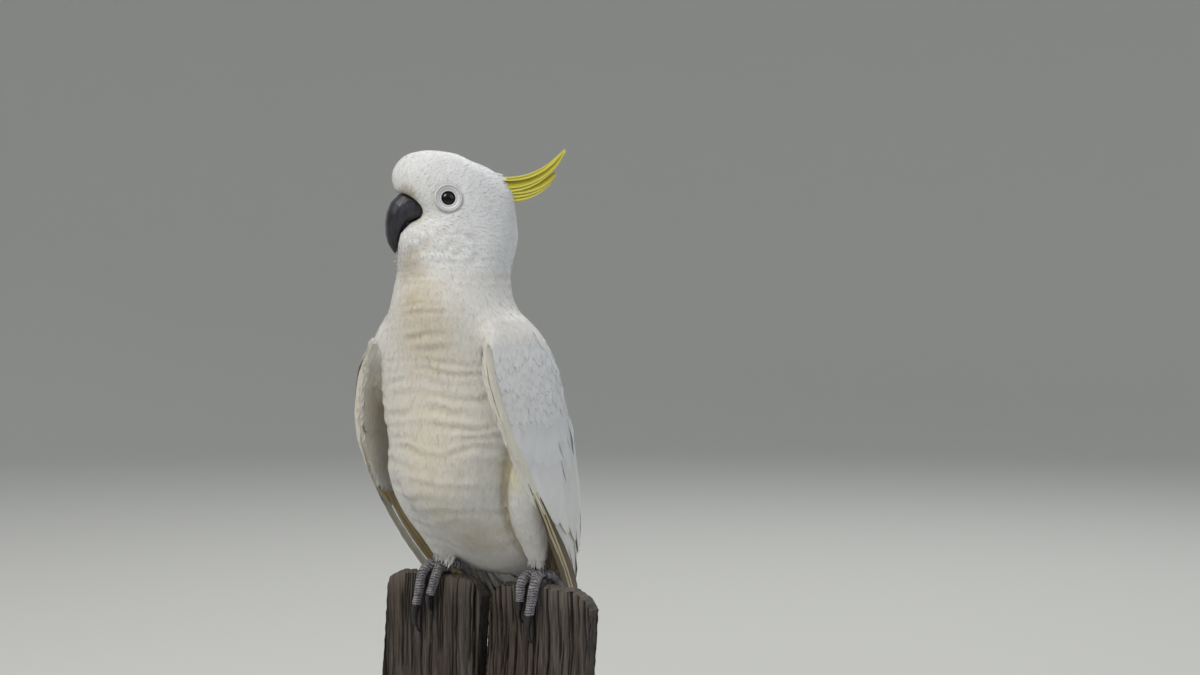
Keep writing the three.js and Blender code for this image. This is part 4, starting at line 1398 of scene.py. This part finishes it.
# Places on the head's side face: (back, up) in millimetres from the point between the eyes.
TOP_ROOT, TOP_BELLY, TOP_TIP = (9, 25), (60, 16), (96, 40)
LOW_ROOT, LOW_BELLY, LOW_TIP = (20, 12), (56, 4), (86, 17)
CREST_COUNT, CREST_ROWS = 11, 13
rng = np.random.default_rng(81)
lines, faces_up = [], []
for number in range(CREST_COUNT):
    share = number / (CREST_COUNT - 1)
    share_tip = 0.35 * share if share < 0.5 else 1 - 0.4 * (1 - share)  # two bundles at the tips
    stops = [np.array(a) * (1 - s) + np.array(b) * s for a, b, s in (
        (TOP_ROOT, LOW_ROOT, share), (TOP_BELLY, LOW_BELLY, share),
        (TOP_TIP, LOW_TIP, share_tip))]
    turned = (1 if number % 2 else -1) * (number > 0)  # they lean left and right by turns
    flat = curve_through(stops, CREST_ROWS)
    fan = 2.2 * turned * np.linspace(1, 0.5, CREST_ROWS)
    lines.append([from_head(-b * MM, s * MM, u * MM) + EYES_MIDDLE
                  for (b, u), s in zip(flat, fan)])
    run = np.gradient(flat, axis=0)
    lean = math.radians(58) * turned
    faces_up.append([unit(math.cos(lean) * from_head(du, 0, db) + math.sin(lean) * HEAD_LEFT
                          * math.hypot(db, du)) for db, du in run])
made = vanes(np.array(lines), np.array(faces_up), np.linspace(5.2, 6.6, CREST_COUNT) * MM,
             np.zeros((CREST_COUNT, CREST_ROWS)), "crest", rng, camber=0.14, thick=0.3 * MM,
             shaft=0.15 * MM, soft=0.45)
coat("crest_feathers", made, strips(made[3]), crest_yellow, ("crest",), "plumage_yellow")

# %% White crown feathers over the crest's roots
CREST_ROOT_COUNT = 90
rng = np.random.default_rng(83)
count = CREST_ROOT_COUNT
share = rng.random((count, 1))
left = rng.choice([-1, 1], (count, 1))
back = 35 + 14 * share + rng.normal(0, 0.8, (count, 1))
up = 21 - 16 * share
roots = EYES_MIDDLE + from_head(-back * MM, left * 4.2 * MM, up * MM)
lengths = rng.uniform(8, 11, (count, 1)) * MM
tips = roots + lengths * unit(from_head(-1.0, -0.15 * left, -0.05))
out = unit(from_head(0.0, left, 0.25))
line = roots[:, None] + (tips - roots)[:, None] * np.linspace(0, 1, 6)[None, :, None]
made = vanes(line, np.broadcast_to(out[:, None], line.shape), np.full(count, 1.3 * MM),
             np.full((count, 6), 0.2 * MM), "plume", rng, camber=0.1, thick=0.15 * MM,
             ragged=0.3 * MM, soft=0.6)
coat("coat_crest_root", made, patches(roots, made[3]), head_white_painted_sky_shade, ("crest",))

# %% [markdown]
# ## Eyes and eyelids
# The eye is a glossy ball, so dark a brown that it looks black, and sits in a cup of bare skin.
# That skin is pale blue-grey and lies in rings: a thick lip against the eye, a groove, and a flat
# outer ring that slips under the feathers. Both are turned shapes about the eye's own axis.

# %% Turned parts on the eye's axis


def on_eye_axis(name, side, profile, sides, material, slot, ripple=0.0):
    """A turned part with its (radius, height) profile counted from the eye's centre."""
    middle = centre(f"eye_{side}")
    axis = unit(centre(f"eyelid_{side}") - middle)
    points, faces = lathe(np.asarray(profile) * MM, sides)
    turn = np.arctan2(points[:, 1], points[:, 0])
    points[:, 2] += ripple * (np.sin(17 * turn) + np.sin(29 * turn + 1)) * (points[:, 0] != 0)
    rotation = Vector((0, 0, 1)).rotation_difference(Vector(axis)).to_matrix()
    from_axis = np.hypot(points[:, 0], points[:, 1])
    piece = mesh_object(f"visual_{name}", points @ np.array(rotation).T + middle, faces, material,
                        slot=slot, stands_for=(name,))
    add_facts(piece.data, {"from_axis": from_axis})


dark_eye, tree, shader = new_material("dark_brown_eye_under_clear_cornea")
from_axis = node(tree, "Attribute", attribute_name="from_axis").outputs["Fac"]
iris = node(tree, "MapRange", {"Value": from_axis, "From Min": 2.6 * MM, "From Max": 3.2 * MM})
# a cornea is mostly water, and the tear film over it gives the one sharp highlight
feed(tree, shader, {"Base Color": tinted(tree, linear("#040303"), "#0D0907", 1.0, iris),
                    "Roughness": 0.12, "IOR": 1.38, "Coat Weight": 0.4, "Coat IOR": 1.33,
                    "Coat Roughness": 0.03})

bare_skin, tree, shader = new_material("bare_skin_of_the_eyelids")
from_axis = node(tree, "Attribute", attribute_name="from_axis").outputs["Fac"]
outwards = node(tree, "MapRange", {"Value": from_axis, "From Min": 5 * MM, "From Max": 10 * MM})
rings = node(tree, "ValToRGB", {"Fac": outwards})
stops = rings.color_ramp.elements
stops[0].position, stops[0].color = 0.0, linear("#6C6D72")
stops[1].position, stops[1].color = 1.0, linear("#CFD0D0")
for position, shade in ((0.06, "#BDBFC1"), (0.16, "#DFE0E1"), (0.3, "#B4B7BA"),
                        (0.42, "#DCDDDE"), (0.66, "#D8D9DA"), (0.74, "#A3A7AB"),
                        (0.86, "#D6D7D8")):
    stops.new(position).color = linear(shade)
place = node(tree, "TexCoord").outputs["Object"]
pores = node(tree, "TexNoise", {"Vector": place, "Scale": 1 / (0.7 * MM), "Detail": 2.0})
bump = node(tree, "Bump", {"Height": pores, "Strength": 0.35, "Distance": 0.1 * MM})
feed(tree, shader, {"Base Color": rings, "Normal": bump, "Roughness": 0.55, "IOR": 1.45})

angles = np.linspace(-math.pi / 2, math.pi / 2, 40)
ball = 7.55 + 0.35 * ramp(angles, math.radians(48), math.radians(62))
eye_profile = [(max(r * math.cos(a), 0.0), r * math.sin(a)) for r, a in zip(ball, angles)]
lid_profile = [
    (5.3, 5.8), (5.15, 6.3), (5.3, 6.75), (5.7, 7.0), (6.15, 6.95), (6.45, 6.75), (6.75, 6.85),
    (7.1, 7.15), (7.6, 7.4), (8.1, 7.65), (8.45, 7.8), (8.7, 7.78), (8.95, 7.92), (9.3, 8.2),
    (9.7, 8.3), (10.0, 8.1), (10.4, 7.3), (10.7, 6.0), (10.5, 4.6), (7.5, 4.8), (5.3, 5.8)]
for side in ("left", "right"):
    on_eye_axis(f"eye_{side}", side, eye_profile, 72, dark_eye, "eye")
    on_eye_axis(f"eyelid_{side}", side, lid_profile, 120, bare_skin, "eyelid_skin", 0.05 * MM)

# %% [markdown]
# ## The bill
# Horn grows forward in thin layers, so the bill carries faint ridges across its length, and a
# cockatoo's own powder dulls it to a bluish charcoal. It is darkest at the tip, a painted
# highlight makes it palest along the ridge, and at the root a narrow band of dark soft skin lies
# against the feathers.

# %% Bill


def piece_from(name, mesh, material, slot, facts):
    """The piece that stands for the solid of that name, with per-point facts for its material."""
    add_facts(mesh, facts)
    shown(f"visual_{name}", mesh, material, slot, (name,))
    print(f"{name}: {2 * len(mesh.polygons)} triangles")


bill_horn, tree, shader = new_material("powdery_charcoal_bill_horn")
place = node(tree, "TexCoord").outputs["Object"]
upright = node(tree, "VectorMath", {0: place, 1: (1, 1, 0.35)}, operation="MULTIPLY")
powder = node(tree, "TexNoise", {"Vector": upright, "Scale": 1 / (3.5 * MM), "Detail": 6.0,
                                 "Roughness": 0.65})
dusty = node(tree, "MapRange", {"Value": powder, "From Min": 0.42, "From Max": 0.68})
colour = tinted(tree, linear("#1D1D26"), "#42434F", 0.6, dusty)
# the pale band along the top of the bill is a painted highlight
for name, tint, amount in (("painted_ridge_highlight", "#8A9098", 0.6), ("tipward", "#120F14", 0.9),
                           ("rootward", "#1A1210", 0.92)):
    mask = node(tree, "Attribute", attribute_name=name).outputs["Fac"]
    colour = tinted(tree, colour, tint, amount, mask)
matt = node(tree, "MapRange", {"Value": powder, "From Min": 0.35, "From Max": 0.7,
                               "To Min": 0.36, "To Max": 0.6})
scratches = node(tree, "TexNoise", {"Vector": place, "Scale": 1 / (0.6 * MM), "Detail": 3.0})
bump = node(tree, "Bump", {"Height": scratches, "Strength": 0.3, "Distance": 0.08 * MM})
feed(tree, shader, {"Base Color": colour, "Normal": bump, "Roughness": matt,
                    "IOR": KERATIN_IOR})

for part in ("upper", "lower"):
    mesh = smoothed(remeshed(copied((f"bill_{part}",)), 0.45 * MM), 12)
    points = read(mesh, "co")
    forward, left, up = in_head(points).T
    from_root = np.hypot(forward - 16 * MM, 0.8 * (up + 16 * MM))
    growth = np.sin(2 * math.pi * from_root / (1.7 * MM) + 2 * np.sin(up / (5 * MM)))
    to_skin = skin_surface.distance(points)
    # the first mask places the painted highlight along the top of the bill
    facts = {
        "painted_ridge_highlight": ramp(1 - np.abs(left) / (6 * MM), 0.2, 1.0) * ramp(forward, 34 * MM, 46 * MM),
        "tipward": ramp(-up, 20 * MM, 38 * MM),
        "rootward": 1 - ramp(to_skin, 1.5 * MM, 3.8 * MM),
    }
    soft_root = 0.5 * MM * facts["rootward"] * (part == "upper")
    pushed(mesh, 0.06 * MM * growth * (1 - facts["rootward"]) + soft_root - 0.1 * MM)
    piece_from(f"bill_{part}", mesh, bill_horn, "horn_dark", facts)

# %% [markdown]
# ## Feet and claws
# Parrot feet are covered in small rounded scales set in rings round the toes, pale grey on top
# with dark skin in the furrows between them. Two toes hook over the front of the fence and two
# over its back. The rings follow the path of a toe: along the top of the wood, round its edge
# and down its face.

# %% Feet
SCALE_ROW, SCALE_WIDTH = 1.9 * MM, 1.75 * MM

foot_skin, tree, shader = new_material("scaly_grey_foot_skin")
place = node(tree, "TexCoord").outputs["Object"]
furrow = node(tree, "Attribute", attribute_name="furrow").outputs["Fac"]
mottle = node(tree, "TexNoise", {"Vector": place, "Scale": 1 / (4 * MM), "Detail": 4.0})
worn = node(tree, "MapRange", {"Value": mottle, "From Min": 0.4, "From Max": 0.65})
colour = tinted(tree, linear("#7B787E"), "#ACA9AF", 0.8, worn)
colour = tinted(tree, colour, "#1D1820", 0.97, furrow)
grain = node(tree, "TexVoronoi", {"Vector": place, "Scale": 1 / (0.8 * MM)})
bump = node(tree, "Bump", {"Height": grain.outputs["Distance"], "Strength": 0.35,
                           "Distance": 0.15 * MM}, invert=True)
feed(tree, shader, {"Base Color": colour, "Normal": bump, "Roughness": 0.6, "IOR": 1.5})


def toe_path(points, top):
    """How far along its toe each place is: flat on the wood, round the edge, then down."""
    out = np.abs(points[:, 1]) - 4 * MM
    above = points[:, 2] - top + 3 * MM
    bend = 10 * MM
    round_edge = bend * np.arctan2(np.maximum(out, 0), np.maximum(above, 1e-9))
    along = np.where(above < 0, bend * math.pi / 2 - above, round_edge)
    along = np.where(out < 0, out, along)
    shank = ramp(above, 15 * MM, 20 * MM)
    return along * (1 - shank) - above * shank


for side in ("left", "right"):
    mesh = smoothed(remeshed(copied((f"foot_{side}",)), 0.4 * MM), 10)
    points, normals = read(mesh, "co"), read(mesh, "normal")
    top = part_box(f"perch_paling_{side}")[1].z
    path = toe_path(points, top)
    wobble = 0.22 * noise_waves(points.astype(float), 6 * MM, 7)
    row = path / SCALE_ROW + wobble
    round_toe = np.where(np.abs(normals[:, 0]) > 0.75, points[:, 2] + points[:, 1], points[:, 0])
    column = round_toe / SCALE_WIDTH + 0.5 * np.floor(row)
    ring_height = np.abs(np.sin(math.pi * row)) ** 0.6
    scale_height = np.abs(np.sin(math.pi * column)) ** 0.5
    height = ring_height * (0.3 + 0.7 * scale_height)
    pushed(mesh, (0.6 * height - 0.15) * MM)
    piece_from(f"foot_{side}", mesh, foot_skin, "bare_skin",
               {"furrow": 1 - ramp(height, 0.3, 0.72)})

# %% Claws
claw_horn, tree, shader = new_material("black_claw_horn")
place = node(tree, "TexCoord").outputs["Object"]
upright = node(tree, "VectorMath", {0: place, 1: (1, 1, 0.15)}, operation="MULTIPLY")
streaks = node(tree, "TexNoise", {"Vector": upright, "Scale": 1 / (0.9 * MM), "Detail": 3.0})
pale = node(tree, "MapRange", {"Value": streaks, "From Min": 0.5, "From Max": 0.75})
colour = tinted(tree, linear("#141215"), "#4B474C", 0.6, pale)
bump = node(tree, "Bump", {"Height": streaks, "Strength": 0.3, "Distance": 0.1 * MM})
feed(tree, shader, {"Base Color": colour, "Normal": bump, "Roughness": 0.34,
                    "IOR": KERATIN_IOR})

for side in ("left", "right"):
    for place_on_foot in ("inner_front", "outer_front", "inner_back", "outer_back"):
        name = f"claw_{side}_{place_on_foot}"
        mesh = smoothed(remeshed(copied((name,)), 0.3 * MM), 4)
        height = read(mesh, "co")[:, 2]
        share = (height - height.min()) / (height.max() - height.min())
        pushed(mesh, 0.8 * MM * ramp(share, 0.1, 0.9))  # a claw is stoutest at its root
        piece_from(name, mesh, claw_horn, "horn_dark", {})

# %% [markdown]
# ## The fence and the stand
# Old hardwood palings turn grey. Rain washes out the soft wood between the hard rings, so the
# face becomes ribbed along the grain, with deep dark cracks, and the sawn top goes ragged and
# pale. The ribs and cracks here are real relief, because they break the outline of the top.

# %% Weathered palings
CRACKS = 44  # on each face


def slow_wave(x, rng, count, shortest, longest):
    """A smooth irregular curve between about -1 and 1, made from a few sines."""
    lengths = np.exp(rng.uniform(math.log(shortest), math.log(longest), count))
    phases = rng.uniform(0, 2 * math.pi, count)
    waves = np.sin(2 * math.pi * x[..., None] / lengths + phases)
    return waves.sum(-1) / math.sqrt(count)


def wood_relief(x, z, face, seed):
    """How deep the wood is worn away at a place on a face, and how dark a crack is there."""
    rng = np.random.default_rng(seed + 10 * face)
    bent = x + 0.9 * MM * slow_wave(z, rng, 3, 60 * MM, 160 * MM)
    ribs = 0.26 * slow_wave(bent, rng, 6, 1.2 * MM, 3.6 * MM)
    hollows = 0.4 * slow_wave(bent, rng, 3, 8 * MM, 30 * MM)
    depth, dark = (0.7 + ribs + hollows) * MM, np.zeros(x.shape)
    low, high = z.min(), z.max()
    for _ in range(CRACKS):
        middle = rng.uniform(x.min(), x.max())
        from_end = rng.random() ** 1.5 * (high - low)
        length, width = rng.uniform(15, 75) * MM, rng.uniform(0.35, 0.75) * MM
        deep = rng.uniform(0.7, 2.4) * MM
        off = (bent - middle - 0.35 * MM * slow_wave(z, rng, 2, 20 * MM, 70 * MM)) / width
        window = 1 - ramp(np.abs(z - (high - from_end)) / length, 0.6, 1.0)
        crack = np.exp(-off * off) * window
        depth = depth + deep * crack
        dark = np.maximum(dark, crack * min(1.0, deep / (1.4 * MM)))
    return depth, dark


def paling(name, seed):
    """A weathered board inside the solid of that name."""
    outline = bmesh.new()
    outline.from_mesh(copied((name,)))
    solid = BVHTree.FromBMesh(outline)
    outline.free()
    low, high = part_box(name)
    edges = [(z, *(solid.ray_cast(Vector((x, 0, z)), Vector((way, 0, 0)))[0].x
                   for x, way in ((low.x - 1, 1), (high.x + 1, -1))))
             for z in (low.z + 8 * MM, low.z + 58 * MM)]

    def edge(which, z):
        (z0, *first), (z1, *second) = edges
        return first[which] + (second[which] - first[which]) * (z - z0) / (z1 - z0)

    def top_at(x):
        hits = [solid.ray_cast(Vector((a, 0, high.z + 1)), Vector((0, 0, -1)))[0] for a in x]
        return np.array([h.z if h else high.z - 12 * MM for h in hits])

    n, m = 240, 11  # points across the board and through its thickness
    u, v = np.linspace(0, 1, n), np.linspace(-1, 1, m)
    inside = 0.004 + 0.992 * u
    tops = np.full(n, high.z)
    for _ in range(3):
        x = edge(0, tops) + (edge(1, tops) - edge(0, tops)) * inside
        tops = top_at(x)
    half = (high.y - low.y) / 2
    rows = np.concatenate([np.linspace(0, 0.8, 22)[:-1], np.linspace(0.8, 1, 12)])

    def layer(i, j, t, rise):
        z = low.z + (tops[i] - 2.2 * MM - low.z) * t + rise
        x = edge(0, z) + (edge(1, z) - edge(0, z)) * u[i]
        y = half * v[j]
        depth, dark = wood_relief(x, z, 0, seed)
        depth_back, dark_back = wood_relief(x, z, 1, seed)
        front, back = j == 0, j == m - 1
        depth, dark = np.where(back, depth_back, depth), np.where(back, dark_back, dark)
        into = np.where(front, 1, np.where(back, -1, 0))
        corner = 1.1 * MM * (1 - ramp(np.minimum(u[i], 1 - u[i]) * 100, 0, 1.2))
        side = np.where(i == 0, 1, np.where(i == n - 1, -1, 0))
        y = y + into * (depth + corner)
        x = x + side * (0.6 + 0.35 * np.sin(z / (1.7 * MM) + 9 * v[j])) * MM
        return np.stack([x, y, z], -1), np.where(into != 0, dark, 0.15)

    index_i = np.concatenate([np.arange(n), np.full(m - 1, n - 1), np.arange(n - 2, -1, -1),
                              np.zeros(m - 2, int)])
    index_j = np.concatenate([np.zeros(n, int), np.arange(1, m), np.full(n - 1, m - 1),
                              np.arange(m - 2, 0, -1)])
    walls, wall_dark = layer(np.tile(index_i, (len(rows), 1)), np.tile(index_j, (len(rows), 1)),
                             rows[:, None], 0.0)
    grid_i, grid_j = np.meshgrid(np.arange(n), np.arange(m), indexing="ij")
    rng = np.random.default_rng(seed + 5)
    ends = []
    for t, high_end in ((1.0, True), (0.0, False)):
        rise = 0.0
        if high_end:
            fibres = slow_wave(u * 0.1, rng, 6, 1.2 * MM, 9 * MM)[:, None]
            across = slow_wave(v * 0.0075, rng, 3, 3 * MM, 14 * MM)[None]
            crown = (1 - np.abs(v) ** 3)[None] * np.minimum(1, 8 * np.minimum(u, 1 - u))[:, None]
            rise = (crown * (1.4 + 0.8 * fibres + 0.6 * across)) * MM
        ends.append(layer(grid_i, grid_j, t, rise))
    i, j = np.meshgrid(np.arange(n - 1), np.arange(m - 1), indexing="ij")
    cap = np.stack([i * m + j, (i + 1) * m + j, (i + 1) * m + j + 1, i * m + j + 1], -1)
    cap = cap.reshape(-1, 4)
    first, second = walls.size // 3, walls.size // 3 + n * m
    points = np.concatenate([walls.reshape(-1, 3)] + [e[0].reshape(-1, 3) for e in ends])
    dark = np.concatenate([wall_dark.ravel()] + [e[1].ravel() for e in ends])
    faces = np.concatenate([tube_faces(len(rows), len(index_i)), cap + first,
                            cap[:, ::-1] + second])
    piece = mesh_object(f"visual_{name}", points, faces, weathered_wood, slot="weathered_wood",
                        stands_for=(name,))
    add_facts(piece.data, {"crack": dark, "end_grain": ramp(points[:, 2], tops.min() - 9 * MM,
                                                            tops.max())})
    joined = bmesh.new()
    joined.from_mesh(piece.data)
    bmesh.ops.remove_doubles(joined, verts=joined.verts, dist=0.002 * MM)
    joined.to_mesh(piece.data)
    joined.free()
    print(f"{name}: {2 * len(faces)} triangles")


def old_wood(name, along_grain):
    """Grey weathered hardwood; along_grain squeezes the pattern along the grain's axis."""
    material, tree, shader = new_material(name)
    place = node(tree, "TexCoord").outputs["Object"]
    grain = node(tree, "VectorMath", {0: place, 1: along_grain}, operation="MULTIPLY")
    fibres = node(tree, "TexNoise", {"Vector": grain, "Scale": 1 / (1.6 * MM), "Detail": 6.0,
                                     "Roughness": 0.7})
    bands = node(tree, "TexNoise", {"Vector": grain, "Scale": 1 / (14 * MM), "Detail": 3.0})
    light = node(tree, "MapRange", {"Value": fibres, "From Min": 0.42, "From Max": 0.66})
    brown = node(tree, "MapRange", {"Value": bands, "From Min": 0.45, "From Max": 0.62})
    crack, end_grain = (node(tree, "Attribute", attribute_name=key).outputs["Fac"]
                        for key in ("crack", "end_grain"))
    colour = linear("#3B3633")
    for tint, amount, mask in (("#77706A", 0.75, light), ("#544438", 0.35, brown),
                               ("#8F867C", 0.35, end_grain), ("#0E0C0B", 0.95, crack)):
        colour = tinted(tree, colour, tint, amount, mask)
    bump = node(tree, "Bump", {"Height": fibres, "Strength": 0.8, "Distance": 0.5 * MM})
    feed(tree, shader, {"Base Color": colour, "Normal": bump, "Roughness": 0.88,
                        "Specular IOR Level": 0.25})
    return material


weathered_wood = old_wood("weathered_grey_hardwood", (1, 1, 0.05))
rail_wood = old_wood("weathered_rail_hardwood", (0.05, 1, 1))
paling("perch_paling_left", 91)
paling("perch_paling_right", 92)

# %% [markdown]
# The rail and the stand keep their simple made shapes: sawn timber with its edges broken, and
# aluminium with a satin black powder coat, which has a very fine orange-peel skin.

# %% Rail and stand
powder_coat, tree, shader = new_material("satin_black_powder_coat")
place = node(tree, "TexCoord").outputs["Object"]
peel = node(tree, "TexNoise", {"Vector": place, "Scale": 1 / (0.9 * MM), "Detail": 1.0})
bump = node(tree, "Bump", {"Height": peel, "Strength": 0.12, "Distance": 0.05 * MM})
wipe = node(tree, "TexNoise", {"Vector": place, "Scale": 1 / (60 * MM), "Detail": 4.0})
satin = node(tree, "MapRange", {"Value": wipe, "From Min": 0.35, "From Max": 0.65,
                                "To Min": 0.4, "To Max": 0.5})
feed(tree, shader, {"Base Color": linear("#1B1B1D"), "Normal": bump, "Roughness": satin,
                    "IOR": 1.5})

for name, material, bevel in (
        ("perch_rail", rail_wood, 1.5), ("stand_base", powder_coat, 1.5),
        ("stand_rod_left", powder_coat, 0.3), ("stand_rod_right", powder_coat, 0.3)):
    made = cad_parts[name]
    made.data.materials.clear()
    made.data.materials.append(material)
    modifier = made.modifiers.new("broken_edge", "BEVEL")
    modifier.width, modifier.segments, modifier.limit_method = bevel * MM, 3, "ANGLE"
    modifier.angle_limit = math.radians(40)

# %% [markdown]
# ## Size
# The bounds of everything shown, without the stage, are measured.

# %% Measure the sizes
low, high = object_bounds()
